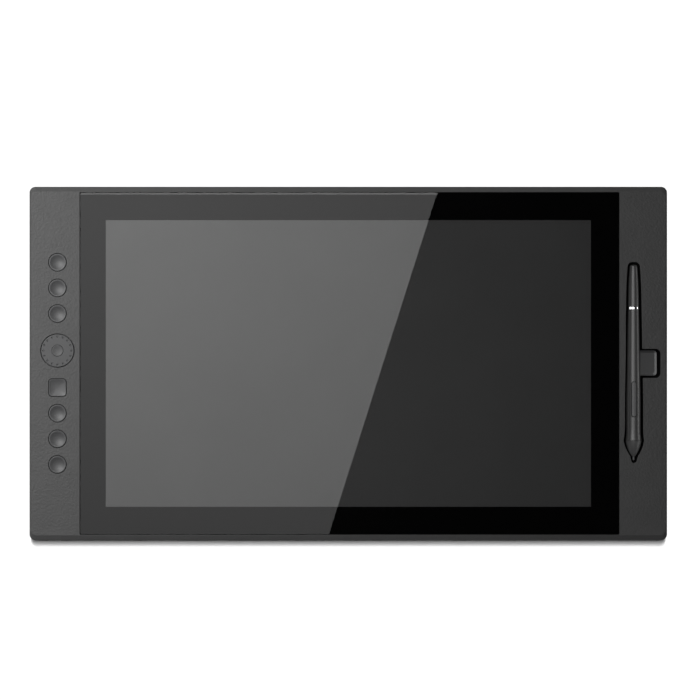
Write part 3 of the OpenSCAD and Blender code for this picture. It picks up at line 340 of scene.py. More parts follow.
finishes = {
    "housing": dict(colour=0.0766, vary=0.10, patch=14, grain=1.5, pebble=0.35, depth=0.15,
                    rough=(0.50, 0.62), speck=0.03, ior=1.42),
    "rear_housing": dict(colour=(0.030, 0.0305, 0.032), vary=0.10, patch=12, depth=0.03,
                         strength=0.7, rough=(0.52, 0.68)),
    "border_print": dict(colour=(0.0055, 0.0055, 0.0061), vary=0.15, patch=30, grain=0.4,
                         rough=(0.30, 0.40), ior=1.1),
    "screen": dict(colour=0.436, vary=0.03, patch=60, grain=0.3, rough=(0.0, 0.0), ior=2.94),
    "tape": dict(colour=0.008, grain=0.6, depth=0.02, rough=(0.6, 0.8)),
    "films": dict(colour=(0.72, 0.72, 0.70), vary=0.03, grain=0.4, rough=(0.25, 0.35)),
    "light_guide": dict(colour=(0.62, 0.72, 0.78), vary=0.03, grain=1.0, depth=0.02, rough=(0.12, 0.20)),
    "sheet_metal": dict(colour=(0.42, 0.43, 0.44), metal=1.0, grain=0.25, stretch=(0.05, 1, 1),
                        rough=(0.30, 0.48), depth=0.01, strength=0.5),
    "board": dict(colour=(0.012, 0.062, 0.026), vary=0.25, patch=2.4, grain=0.6, depth=0.04,
                  rough=(0.28, 0.42), speck=0.25),
    "component": dict(colour=(0.012, 0.012, 0.013), vary=0.15, grain=0.3, depth=0.02, rough=(0.45, 0.60)),
    "connector": dict(colour=(0.66, 0.61, 0.50), vary=0.05, grain=0.4, depth=0.01, rough=(0.40, 0.55)),
    "lamps": dict(colour=(0.82, 0.74, 0.46), vary=0.10, patch=3, rough=(0.25, 0.40)),
    "cable": dict(colour=(0.42, 0.17, 0.035), vary=0.10, stretch=(1, 0.1, 1), rough=(0.22, 0.34),
                  speck=0.12),
    "white_cable": dict(colour=(0.66, 0.66, 0.62), vary=0.06, stretch=(0.05, 1, 1),
                        rough=(0.35, 0.5), speck=0.10),
    "screws": dict(colour=(0.46, 0.47, 0.48), metal=1.0, grain=0.2, rough=(0.24, 0.40), depth=0.005),
    "dark_screws": dict(colour=(0.045, 0.046, 0.050), metal=1.0, grain=0.2, rough=(0.30, 0.46),
                        depth=0.006),
    "port_shell": dict(colour=(0.56, 0.57, 0.58), metal=1.0, grain=0.25, stretch=(1, 0.06, 1),
                       rough=(0.22, 0.36), depth=0.004),
    "rubber": dict(colour=(0.014, 0.014, 0.015), vary=0.12, grain=0.45, depth=0.05, rough=(0.72, 0.88)),
    "keys": dict(colour=(0.064, 0.0645, 0.066), vary=0.06, patch=6, grain=0.35, depth=0.012, strength=0.6,
                 rough=(0.42, 0.52)),
    "dial": dict(colour=(0.066, 0.0665, 0.068), vary=0.07, patch=6, grain=0.4, depth=0.015, strength=0.7,
                 rough=(0.46, 0.58)),
    # tray: dark plastic made near-black as painted shade, so the deep pen slot and the gap round the finger
    # rest read as shadow
    "tray": dict(colour=(0.003, 0.003, 0.0032), vary=0.10, patch=8, depth=0.02,
                 rough=(0.45, 0.58), ior=1.15),
    "rest": dict(colour=(0.076, 0.0765, 0.078), vary=0.05, patch=6, grain=0.4, depth=0.004, strength=0.5,
                 rough=(0.26, 0.31)),
    "pen_body": dict(colour=0.038, vary=0.06, patch=9, grain=0.3, depth=0.008, strength=0.6,
                     rough=(0.36, 0.42), ior=1.65),
    "pen_nose": dict(colour=0.062, vary=0.06, patch=9, grain=0.3, depth=0.008, strength=0.6,
                     rough=(0.44, 0.50), ior=1.65),
    "pen_key": dict(colour=(0.074, 0.0745, 0.076), vary=0.06, patch=5, grain=0.3, depth=0.006,
                    rough=(0.40, 0.48)),
    "nib": dict(colour=(0.085, 0.085, 0.086), vary=0.10, patch=2, grain=0.2, depth=0.004,
                rough=(0.40, 0.52)),
    "ring_metal": dict(colour=(0.92, 0.92, 0.93), metal=1.0, vary=0.03, patch=4, grain=0.15,
                       stretch=(1, 0.1, 1), rough=(0.18, 0.22)),
    "copper": dict(colour=(0.62, 0.24, 0.09), metal=1.0, grain=0.2, stretch=(0.1, 1, 0.1),
                   rough=(0.28, 0.42), depth=0.02),
    "ferrite": dict(colour=(0.035, 0.031, 0.029), vary=0.15, grain=0.3, depth=0.02, rough=(0.55, 0.70)),
    "rotor": dict(colour=(0.48, 0.33, 0.10), metal=1.0, grain=0.3, rough=(0.26, 0.40), depth=0.006),
}
looks = {name: finish(name, look) for name, look in finishes.items()}
looks["cover_glass"] = shadedBy(clearShader, "cover_glass", dict(tints=(0.61, 0.63), ior=1.5, smear=60))
print("finishes made:", len(looks))

# front frame: skirt, bevelled rim, face with holes for keys, dial and pen, rebate and ledge for the glass
frontFrame = dict(
    seam=10.0, seamCut=0.25, wall=2.0, under=15.8, cornerR=4.2, bevelX=1.4, bevelY=3.5, bevelDrop=1.5,
    bevelFoot=0.5, bevelLow=0.26, bevelHigh=0.80, bevelPull=0.97, bevelEnd=1.02,
    glassGap=0.07, glassCornerR=1.0, glassEdge=0.1, windowGap=0.4, windowR=0.05,
    ledge=15.7, ledgeUnder=13.9, ledgeRoot=1.6, ledgeGap=0.25, ledgeR=0.3,
    keyR=6.1, keyGap=0.35, squareW=12.1, squareR=2.1, dialR=11.5, dialGap=0.45, holeRound=0.28,
    slotGap=0.9, slotRoom=1.75, widenAt=(6.0, 14.0, 24.0, 78.0, 100.0), widenBy=(0.0, 0.4, 0.0, 0.0, 0.4),
    notchX=219.4, notchL=20.3, notchR=3.4, notchBlend=0.7, notchClear=0.3,
)
roundKeys = ["round_key_%d" % i for i in range(1, 7)]
frameLow, frameHigh = nodeBox("front_frame")
faceTop = frameHigh[2]
bodyW, bodyH = (frameHigh - frameLow)[:2]
glassLow, glassHigh = nodeBox("cover_glass")
glassW, glassH = (glassHigh - glassLow)[:2]
glassMiddle = nodeMiddle("cover_glass")

# pen: its axis, its ends and the radius of its outside at a distance s from the nib's tip
pen = dict(
    nibOut=2.9, nibR=0.75, nibGap=0.1, nibLip=0.15, tipR=1.2, tipLip=((-0.25, -0.02), (-0.08, 0.0)),
    bulgeR=5.65, bulgeS=14.0, noseBend=1.5, seamCut=0.25,
    spigotGap=0.08, spigotL=5.0, cavityR=3.0, cavityS=10.5,
    neckL=8.0, gripR=5.05, taperS=44.0, taper=0.0175, curveS=118.0, tailDrop=0.77, tailRound=1.6,
    ringS=106.2, ringW=1.8, ringRound=0.12, ringSoft=(0.03, 0.04), ringLip=0.1, boreR=3.8, boreStep=75.0,
    tailBoreR=3.0, tailSpigotR=2.92, tailSpigotL=6.0, tailHollowR=1.9, tailWall=12.0,
    rockerS=43.0, rockerL=24.5, rockerW=3.3, rockerProud=0.45,
    rockerGap=0.25, rockerEdge=0.42, rockerRoom=0.75,
    pocketFloor=0.15, pocketBlend=0.12, pocketAngle=0.55,
)
nibLow, nibHigh = nodeBox("pen_nib")
penX, penZ = nodeMiddle("pen_nib")[0], (nibLow[2] + nibHigh[2]) / 2
nibY, penL = nibLow[1], nodeBox("pen_tail")[1][1] - nibLow[1]


# exponential rise over the nose, sine fall over the neck, straight taper, quadratic fall over the tail
def penRadius(s):
    s = np.asarray(s, float)
    along = np.clip((s - pen["nibOut"]) / (pen["bulgeS"] - pen["nibOut"]), 0, 1)
    bend = pen["noseBend"]
    nose = pen["tipR"] + (pen["bulgeR"] - pen["tipR"]) * (1 - np.exp(-bend * along)) / (1 - np.exp(-bend))
    neck = pen["gripR"] + (pen["bulgeR"] - pen["gripR"]) * (
        1 - np.sin(np.pi / 2 * np.clip((s - pen["bulgeS"]) / pen["neckL"], 0, 1)))
    tail = np.clip((s - pen["curveS"]) / (penL - pen["curveS"]), 0, 1)
    barrel = neck - pen["taper"] * np.maximum(0, s - pen["taperS"]) - pen["tailDrop"] * tail ** 2
    return np.where(s < pen["bulgeS"], nose, barrel)


# one side of the slot: the pen's outline grown by a gap, wider in places, a quarter ellipse at each end
def slotSide(gap, endGap, widenBy=(0.0,)):
    nib = arc(0, 0, 1, -90, 0, 10) * [pen["nibR"] + gap, pen["nibR"] + endGap] + [0, pen["nibR"]]
    nose = np.linspace(pen["nibOut"] + 0.4, pen["bulgeS"] + pen["neckL"], 44)
    body = np.linspace(pen["bulgeS"] + pen["neckL"] + 4, penL - pen["tailRound"] - 1, 28)
    end = penL - pen["tailRound"]
    tail = arc(0, 0, 1, 0, 90, 12) * [pen["tailRound"] + gap + widenBy[-1], pen["tailRound"] + endGap]
    tail += [float(penRadius(end)) - pen["tailRound"], end]
    s = np.concatenate([nose, body])
    wider = np.interp(s, frontFrame["widenAt"][-len(widenBy):], widenBy)
    return np.concatenate([nib, np.column_stack([penRadius(s) + gap + wider, s]), tail])


# slot and finger notch as one loop: roomy right side with the notch let into it, then the close left side
def slotLoop(gap, room):
    right = slotSide(room, room) + [penX, nibY]
    left = slotSide(gap, room, frontFrame["widenBy"])[-2:0:-1] * [-1, 1] + [penX, nibY]
    half, blend, r = frontFrame["notchL"] / 2, frontFrame["notchBlend"], frontFrame["notchR"]
    x1 = frontFrame["notchX"]
    nearX, farX = np.interp([-half - blend, half + blend], right[:, 1], right[:, 0])
    notch = np.concatenate([
        arc(nearX + blend, -half - blend, blend, 180, 90, 7),
        arc(x1 - r, -half + r, r, -90, 0, 12),
        arc(x1 - r, half - r, r, 0, 90, 12),
        arc(farX + blend, half + blend, blend, -90, -180, 7),
    ])
    clear = half + blend + frontFrame["notchClear"]
    near, far = right[right[:, 1] < -clear], right[right[:, 1] > clear]
    return np.concatenate([near, notch, far, left])


# outward direction at each point of a counter-clockwise loop, from the unit steps before and after it
def loopNormals(loop):
    step = np.roll(loop, -1, axis=0) - loop
    step /= np.linalg.norm(step, axis=1, keepdims=True)
    tangent = step + np.roll(step, 1, axis=0)
    tangent /= np.linalg.norm(tangent, axis=1, keepdims=True)
    return np.column_stack([tangent[:, 1], -tangent[:, 0]])


slotBase = slotLoop(frontFrame["slotGap"], frontFrame["slotRoom"])
slotOut = loopNormals(slotBase)
dialMiddle, squareMiddle = nodeMiddle("dial_ring"), nodeMiddle("square_key")


# the body's outline with a corner radius, drawn in on both axes by its insets
def bodyRing(r, x=0.0, y=0.0):
    return roundedRect((0, 0), bodyW, bodyH, r, x, y)


# rings from the underside round the skirt and over the bevel: insets in shares of the bevel against height
def skirtRings(f):
    cut, wall, radius = f["seamCut"], f["wall"], f["cornerR"]
    foot, start, drop = f["bevelLow"], f["bevelHigh"], f["bevelDrop"]
    z = faceTop - drop
    lower = softCorner((0, z - f["bevelFoot"]), (0, z), (foot, z + foot * drop))
    upper = softCorner((start, z + start * drop), (f["bevelPull"], faceTop), (1.0, faceTop))
    share = np.concatenate([lower, upper, [[f["bevelEnd"], faceTop]]])
    insets = share[:, :1] * [f["bevelX"], f["bevelY"]]
    loops = [bodyRing(radius - wall, wall, wall)] * 2 + [bodyRing(radius - cut, cut, cut), bodyRing(radius)]
    loops += [bodyRing(radius - x / 2, x, y) for x, y in insets]
    heights = [f["under"], f["seam"], f["seam"], f["seam"] + cut, *share[:, 1]]
    return stackLoops(loops, heights), loops[0], loops[-1]


# rebate for the glass and the ledge under it, down to the window, round it and back up to the underside
def glassLedge(f):
    lcdLow, lcdHigh = nodeBox("lcd_cell")
    gap, w, edge = f["glassGap"], f["windowGap"], f["glassEdge"]
    radius = f["glassCornerR"] + gap
    loopAt = lambda o: roundedRect(glassMiddle, glassW, glassH, radius + o, -gap - o, -gap - o)
    window = roundedBox(lcdLow[0] - w, lcdHigh[0] + w, lcdLow[1] - w, lcdHigh[1] + w, f["windowR"])
    inner = bodyH / 2 - f["wall"] - f["ledgeGap"]
    out = glassW / 2 + f["ledgeRoot"]
    block = roundedBox(glassMiddle[0] - out, glassMiddle[0] + out, -inner, inner, f["ledgeR"])
    ledge = stackLoops([loopAt(0), window, window, block, block],
                       [f["ledge"], f["ledge"], f["ledgeUnder"], f["ledgeUnder"], f["under"]])
    return [holeRings(loopAt, f["ledge"], faceTop, edge), ledge], loopAt(edge + support), block


# the whole frame: skirt, ledge and hole rings, closed by the face above and the face below
def buildFrame(f):
    skirt, innerLoop, topLoop = skirtRings(f)
    ledge, glassTop, ledgeBlock = glassLedge(f)
    r = f["holeRound"]
    holes = [lambda o, m=nodeMiddle(k): circle(*m, f["keyR"] + f["keyGap"] + o) for k in roundKeys]
    holes += [lambda o: circle(*dialMiddle, f["dialR"] + f["dialGap"] + o, 160)]
    wide, radius = f["squareW"] + 2 * f["keyGap"], f["squareR"] + f["keyGap"]
    holes += [lambda o: roundedRect(squareMiddle, wide + 2 * o, wide + 2 * o, radius + o)]
    holes += [lambda o: slotBase + o * slotOut]
    patches = [skirt, *ledge] + [holeRings(h, f["under"], faceTop, r) for h in holes]
    patches += [fillFlat(topLoop, [glassTop] + [h(r + support) for h in holes], faceTop),
                fillFlat(innerLoop, [ledgeBlock] + [h(0) for h in holes], f["under"])]
    return patches


makePiece("frontFrame", buildFrame(frontFrame), "housing", "tablet", ["front_frame"])

# cover glass: flat sheet with chamfered edges, its far edge sloping down gently over a narrow band
glassSheet = dict(cornerR=1.0, chamfer=0.35, lift=0.02, lowerCut=0.15, farBand=1.75, farDrop=0.13)


# rounded rectangle drawn in by an inset, with a point on each side where the far band begins
def glassLoop(g, inset):
    x, y, r = glassW / 2 - inset, glassH / 2 - inset, g["cornerR"] - inset
    start, n = glassH / 2 - g["farBand"], cornerSteps
    loop = roundedBox(-x, x, -y, y, r)
    parts = loop[:n], [[x, start]], loop[n:3 * n], [[-x, start]], loop[3 * n:]
    return np.concatenate(parts) + glassMiddle


# loops from the lower cut up the side and the chamfer; the far band falls in step with y, the rest is flat
def buildGlass(g):
    low, top = glassLow[2] + g["lift"], glassHigh[2]
    start = glassMiddle[1] + glassH / 2 - g["farBand"]
    loops = [glassLoop(g, inset) for inset in (g["lowerCut"], 0, 0, g["chamfer"], g["chamfer"])]
    loops[-1] = np.minimum(loops[-1], [np.inf, start])
    slope = np.maximum(0, loops[3][:, 1] - start) / g["farBand"] * g["farDrop"]
    even = np.ones(len(slope))
    heights = [low * even, (low + g["lowerCut"]) * even, top - g["chamfer"] - slope, top - slope, top * even]
    return capped(loops, heights)


makePiece("coverGlass", buildGlass(glassSheet), "cover_glass", "tablet", ["cover_glass"], sharp=2)

# shortcut keys: hollowed caps with a rim, a retaining flange and a stem
roundKey = dict(r=6.1, edge=0.35, dishR=5.2, dishDepth=1.0, blend=0.18, flangeR=7.4, flangeLow=14.4,
                flangeHigh=15.6, stemR=1.75)
squareKey = dict(w=12.1, cornerR=2.1, edge=0.35, dishR=7.2, dishDepth=0.9, blend=0.18, flange=1.3,
                 flangeLow=14.4, flangeHigh=15.6, stemR=1.75)


# hollow: depth times one minus the squared share of its radius, eased into the rim by a soft maximum
def hollow(r, k):
    fall = 1 - (r / k["dishR"]) ** 2
    return k["dishDepth"] * (fall + np.sqrt(fall ** 2 + k["blend"] ** 2 / 9)) / 2


# profile of a round key from its stem, over the flange and the rim, to the middle of the hollow
def roundKeyProfile(k, low, top):
    inset, rise = roundOver(k["edge"])
    r = np.linspace(k["r"] - k["edge"] - support, 0, 40)
    flange = [[0, low], [k["stemR"], low], [k["stemR"], k["flangeLow"]], [k["flangeR"], k["flangeLow"]],
              [k["flangeR"], k["flangeHigh"]], [k["r"], k["flangeHigh"]]]
    edge = np.column_stack([k["r"] - inset, top - k["edge"] + rise])
    return np.concatenate([flange, edge, np.column_stack([r, top - hollow(r, k)])])


for keyName in roundKeys:
    keyLow, keyHigh = nodeBox(keyName)
    profile = roundKeyProfile(roundKey, keyLow[2], keyHigh[2])
    makePiece(keyName + "_cap", [turned(profile, nodeMiddle(keyName))], "keys", keyName, [keyName])


# square key: loops drawn in over the edge and on to the middle, all lowered by the hollow
def buildSquareKey(k):
    low, high = nodeBox("square_key")
    loopAt = lambda w, r: roundedRect((0, 0), w, w, r)
    inset, rise = roundOver(k["edge"])
    w, r, flange, rim = k["w"], k["cornerR"], k["w"] + 2 * k["flange"], k["edge"] + support
    cap = [loopAt(w - 2 * i, r - i) for i in inset]
    cap += [loopAt((w - 2 * rim) * t, (r - rim) * t) for t in np.linspace(1, 0.002, 26)]
    drop = np.concatenate([k["edge"] - rise, np.zeros(len(cap) - len(rise))])
    even = np.ones(len(cap[0]))
    heights = [k["flangeLow"] * even, k["flangeHigh"] * even, k["flangeHigh"] * even]
    heights += [high[2] - d - hollow(np.hypot(*loop.T), k) for d, loop in zip(drop, cap)]
    loops = np.array([loopAt(flange, r), loopAt(flange, r), loopAt(w, r), *cap]) + squareMiddle
    stem = circle(*squareMiddle, k["stemR"], 48)
    return [stackLoops(loops, heights), fillFlat(loops[-1], [], heights[-1].mean()),
            *pocket(stem, k["flangeLow"], low[2]), fillFlat(loops[0], [stem], k["flangeLow"])]


makePiece("squareKeyCap", buildSquareKey(squareKey), "keys", "square_key", ["square_key"])

# dial: turned ring whose top has a circle of dimples, with the button in its middle
dialRing = dict(r=11.5, boreR=4.1, edge=0.35, boreEdge=0.15, under=15.0, skirtR=(6.0, 8.7),
                flangeR=12.8, flangeLow=14.4, flangeHigh=15.6,
                dimples=16, dimpleRing=9.9, dimpleR=0.75, dimpleDepth=0.42, count=640)
dialButton = dict(r=3.95, edge=0.15, dishR=3.3, dishDepth=0.28, blend=0.3, flangeR=5.15, flangeLift=0.7,
                  flangeHigh=14.8, stemR=1.75)


# dial on a radius and angle grid: flat top less depth times (1 - squared distance) near each dimple's middle
def buildDial(d):
    low, high = nodeBox("dial_ring")
    inset, rise = roundOver(d["edge"])
    top = high[2]
    under, (inR, outR) = d["under"], d["skirtR"]
    flange, flangeLow, flangeHigh = d["flangeR"], d["flangeLow"], d["flangeHigh"]
    rows = [[d["boreR"], under], [inR, under], [inR, low[2]], [outR, low[2]], [outR, flangeLow],
            [flange, flangeLow], [flange, flangeHigh], [d["r"], flangeHigh]]
    outer = np.column_stack([d["r"] - inset, top - d["edge"] + rise])
    inner = d["dimpleRing"] - d["dimpleR"]
    ring = np.concatenate([np.linspace(d["r"] - d["edge"] - support, inner, 22),
                           np.linspace(inner - 0.3, d["boreR"] + d["boreEdge"] + support, 8)])
    flat = np.column_stack([ring, np.full(len(ring), top)])
    inset, rise = roundOver(d["boreEdge"])
    inner = np.column_stack([d["boreR"] + inset, top - d["boreEdge"] + rise])[::-1]
    points, quads = turned(closed(np.concatenate([rows, outer, flat, inner])), (0, 0), d["count"])
    angle = np.arctan2(points[:, 1], points[:, 0])
    pitch = 2 * np.pi / d["dimples"]
    near = angle - pitch * np.round(angle / pitch)
    r = np.hypot(points[:, 0], points[:, 1])
    away = np.hypot(r * np.cos(near) - d["dimpleRing"], r * np.sin(near)) / d["dimpleR"]
    points[:, 2] -= np.where(points[:, 2] > top - 1e-6, d["dimpleDepth"] * np.maximum(0, 1 - away ** 2), 0)
    points[:, :2] += dialMiddle
    return [(points, quads)]


makePiece("dialRing", buildDial(dialRing), "dial", "dial", ["dial_ring"], sharp=40)
buttonLow, buttonHigh = nodeBox("dial_button")
dialButton["flangeLow"] = nodeBox("key_switches")[1][2] + dialButton["flangeLift"]
profile = roundKeyProfile(dialButton, buttonLow[2], buttonHigh[2])
makePiece("dialButton", [turned(profile, dialMiddle)], "dial", "dial_button", ["dial_button"])


# profile turned about the pen's axis, its heights becoming distances from the nib's tip
def alongPen(profile, count=128):
    points, faces = turned(profile, count=count)
    return [(np.column_stack([points[:, 0] + penX, points[:, 2] + nibY, points[:, 1] + penZ]), faces)]


# nose: outside from the tip to the bulge, then the spigot, the cavity and the bore of the nib
def noseProfile(p):
    s = np.linspace(p["nibOut"], p["bulgeS"] - p["seamCut"], 40)
    bore, seam = p["nibR"] + p["nibGap"], p["bulgeS"]
    spigot, end = p["boreR"] - p["spigotGap"], seam + p["spigotL"]
    return closed(np.concatenate([
        [[bore, p["nibOut"] + p["nibLip"]]], np.array(p["tipLip"]) + [p["tipR"], p["nibOut"]],
        np.column_stack([penRadius(s), s]),
        [[p["bulgeR"] - p["seamCut"], seam], [spigot, seam], [spigot, end],
         [p["cavityR"], end], [p["cavityR"], p["cavityS"]], [bore, p["cavityS"]]]]))


makePiece("penNose", alongPen(noseProfile(pen)), "pen_nose", "pen", ["pen_nose"], "pen_body", sharp=40)


# signed distance to a slot shape in plan: distance to its middle line less half its width
def stadiumDistance(x, y, length, width):
    return np.hypot(x, np.maximum(0, np.abs(y) - (length - width) / 2)) - width / 2


# barrel on a grid of distance and angle: the pen's radius less a pocket round the side switch, then its bore
def buildBarrel(p):
    near, far = p["rockerS"] - p["rockerL"] / 2, p["rockerS"] + p["rockerL"] / 2
    neckEnd = p["bulgeS"] + p["neckL"]
    spans = [(p["bulgeS"] + p["seamCut"], neckEnd, 24), (neckEnd + 0.8, near - 0.7, 8),
             (near - 0.6, near + 1.8, 34), (near + 2, far - 2, 30), (far - 1.8, far + 0.6, 34),
             (far + 1, p["ringS"] - p["ringLip"], 40)]
    s = np.concatenate([np.linspace(*span) for span in spans])
    half = p["pocketAngle"]
    angle = np.concatenate([np.linspace(-half, half, 90), np.linspace(half, 2 * np.pi - half, 74)[1:-1]])
    base = penRadius(s)[:, None]
    gap = 2 * p["rockerGap"]
    x, y = base * np.sin(angle), (s - p["rockerS"])[:, None]
    away = stadiumDistance(x, y, p["rockerL"] + gap, p["rockerW"] + gap)
    share = np.clip(0.5 - away / p["pocketBlend"], 0, 1) * (np.cos(angle) > 0)
    outside = base - share * (base - p["boreR"] - p["pocketFloor"])
    seam = [p["bulgeR"] - p["seamCut"], p["bulgeS"]]
    rim = float(penRadius(p["ringS"])) - p["ringLip"]
    bore, tailBore, step = p["boreR"], p["tailBoreR"], p["boreStep"]
    inside = np.array([[rim, p["ringS"]], [tailBore, p["ringS"]], [tailBore, step], [bore, step],
                       [bore, p["bulgeS"]], seam])
    even = np.ones(len(angle))
    r = np.concatenate([seam[0] * even[None], outside, inside[:, :1] * even])
    along = np.concatenate([seam[1:], s, inside[:, 1]])[:, None] * even
    points = np.dstack([penX + r * np.sin(angle), nibY + along, penZ + r * np.cos(angle)]).reshape(-1, 3)
    return [(points, gridQuads(*r.shape).reshape(-1, 4))]


makePiece("penBarrel", buildBarrel(pen), "pen_body", "pen", ["pen_barrel"], sharp=40)


# side switch: slot-shaped loops drawn in to its middle line, on a cylinder round the pen's axis
def buildRocker(p):
    top, edge, low = p["gripR"] + p["rockerProud"], p["rockerEdge"], p["boreR"] + p["rockerRoom"]
    length, width = p["rockerL"], p["rockerW"]
    offsets = np.concatenate([[0], roundOver(edge, 9)[0], np.linspace(edge + support, width / 2, 10)])
    sizes = [(length - 2 * o, max(width - 2 * o, 1e-4)) for o in offsets]
    loops = np.array([stadium((0, p["rockerS"]), *size, 28, True) for size in sizes])
    drop = edge - np.sqrt(np.maximum(0, edge ** 2 - np.maximum(0, edge - offsets) ** 2))
    z = np.sqrt(top ** 2 - loops[:, :, 0] ** 2) - drop[:, None]
    z[0] = low
    patches = stackLoops(loops, z), fillFlat(loops[0], [], low)
    return [(points + [penX, nibY, penZ], faces) for points, faces in patches]


makePiece("penRocker", buildRocker(pen), "pen_key", "pen_rocker", ["pen_rocker"])


# metal ring: outside with softened edges, then its bore
def ringProfile(p):
    s0, s1, bore = p["ringS"], p["ringS"] + p["ringW"], p["tailBoreR"]
    r0, r1 = penRadius([s0, s1])
    c, (inR, inS) = p["ringRound"], p["ringSoft"]
    return closed([[bore, s0], [r0 - c, s0], [r0 - inR, s0 + inS], [r0, s0 + c],
                   [r1, s1 - c], [r1 - inR, s1 - inS], [r1 - c, s1], [bore, s1]])


makePiece("penRing", alongPen(ringProfile(pen)), "ring_metal", "pen", ["pen_ring"])


# tail: hollow, spigot in the ring, outside along the taper, rounded end
def tailProfile(p):
    s0, end = p["ringS"] + p["ringW"], penL - p["tailRound"]
    s = np.linspace(s0 + p["ringLip"], end, 30)
    tip = arc(float(penRadius(end)) - p["tailRound"], end, p["tailRound"], 6, 90, 14)
    back, root = penL - p["tailWall"], p["ringS"] - p["tailSpigotL"]
    return np.concatenate([
        [[0, back], [p["tailHollowR"], back], [p["tailHollowR"], root], [p["tailSpigotR"], root],
         [p["tailSpigotR"], s0], [float(penRadius(s0)) - p["ringLip"], s0]],
        np.column_stack([penRadius(s), s]), tip, [[0, penL]]])


makePiece("penTail", alongPen(tailProfile(pen)), "pen_body", "pen", ["pen_tail"], sharp=40)


# nib: half-round tip on a rod that runs into the pressure cell
def nibProfile(p):
    tip = arc(0, p["nibR"], p["nibR"], -90, 0, 12)
    end = nibHigh[1] - nibY
    return np.concatenate([tip, [[p["nibR"], end], [0, end]]])


makePiece("penNib", alongPen(nibProfile(pen), 64), "nib", "pen_nib", ["pen_nib"])

# finger rest: smooth cap over the raised rest in the notch, with a shallow bevel along its open sides
fingerRest = dict(x0=205.15, x1=216.95, y0=-8.6, y1=9.2, cornerR=2.4, edge=0.12, bevel=1.6, fall=0.3,
                  blend=0.12, low=11.3, top=13.48, wallShare=0.1, wallR=0.2)


# loops drawn in over a rounded edge, up a straight slope and round a soft corner to the flat top
def buildRest(f):
    inset, rise = roundOver(f["edge"], 5)
    slope = f["fall"] / f["bevel"]
    foot = f["top"] - f["fall"] + slope * f["edge"]
    edge = np.column_stack([inset, foot - f["edge"] + rise])
    b = f["blend"]
    corner = softCorner((f["bevel"] - b, f["top"] - slope * b), (f["bevel"], f["top"]),
                        (f["bevel"] + b, f["top"]))
    profile = np.concatenate([[[0, f["low"]]], edge, corner, [[f["bevel"] + b + support, f["top"]]]])
    outR, wallR = f["cornerR"], f["wallR"]
    loops = [roundedBox(f["x0"] + f["wallShare"] * o, f["x1"] - o, f["y0"] + o, f["y1"] - o,
                        (outR - o / 2, outR - o / 2, wallR, wallR)) for o in profile[:, 0]]
    return capped(loops, profile[:, 1])


makePiece("fingerRest", buildRest(fingerRest), "rest", "tablet", (), "tray")

# rear cover: dish with an elliptic lower edge, seats for feet and screws, vents, cut-outs in the far wall
rearCover = dict(
    seam=10.0, seamCut=0.25, wall=2.0, base=1.5, floor=3.5, cornerR=4.2,
    edgeIn=5.5, edgeUp=3.6, edgeBand=0.3,
    footL=42.0, footW=9.0, footGap=0.1, footSink=0.5, footInX=52.0, footInY=17.0,
    seatR=2.6, seatDeep=1.6, screwIn=9.0, postX=80.0, postY=58.0,
    ventCount=15, ventPitch=7.0, ventW=2.4, ventL=24.0, ventRound=0.35,
    socketX=60.0, socketW=8.94, socketH=3.26, socketGap=0.3,
    powerX=95.0, powerW=9.0, powerH=2.4, powerGap=0.2, portRound=0.22,
)
activeX = nodeMiddle("lcd_cell")[0]
boardMiddle = nodeMiddle("main_board")
shellLow, shellHigh = nodeBox("usb_c_shell")
portZ = (shellLow[2] + shellHigh[2]) / 2


# the four mirror images of a point
def fourSpots(x, y):
    return [(i * x, j * y) for i in (-1, 1) for j in (-1, 1)]


footSpots = fourSpots(bodyW / 2 - rearCover["footInX"], bodyH / 2 - rearCover["footInY"])
screwSpots = fourSpots(bodyW / 2 - rearCover["screwIn"], bodyH / 2 - rearCover["screwIn"])
screwSpots += [(activeX + x, y) for x, y in fourSpots(rearCover["postX"], rearCover["postY"])]
ventSteps = np.arange(rearCover["ventCount"]) - (rearCover["ventCount"] - 1) / 2
ventSpots = [boardMiddle + [step * rearCover["ventPitch"], 0] for step in ventSteps]


# mirrors a patch built upwards into one that opens downwards at a height
def turnDown(patch, height):
    points, faces = patch
    return points * [1, 1, -1] + [0, 0, 2 * height], faces


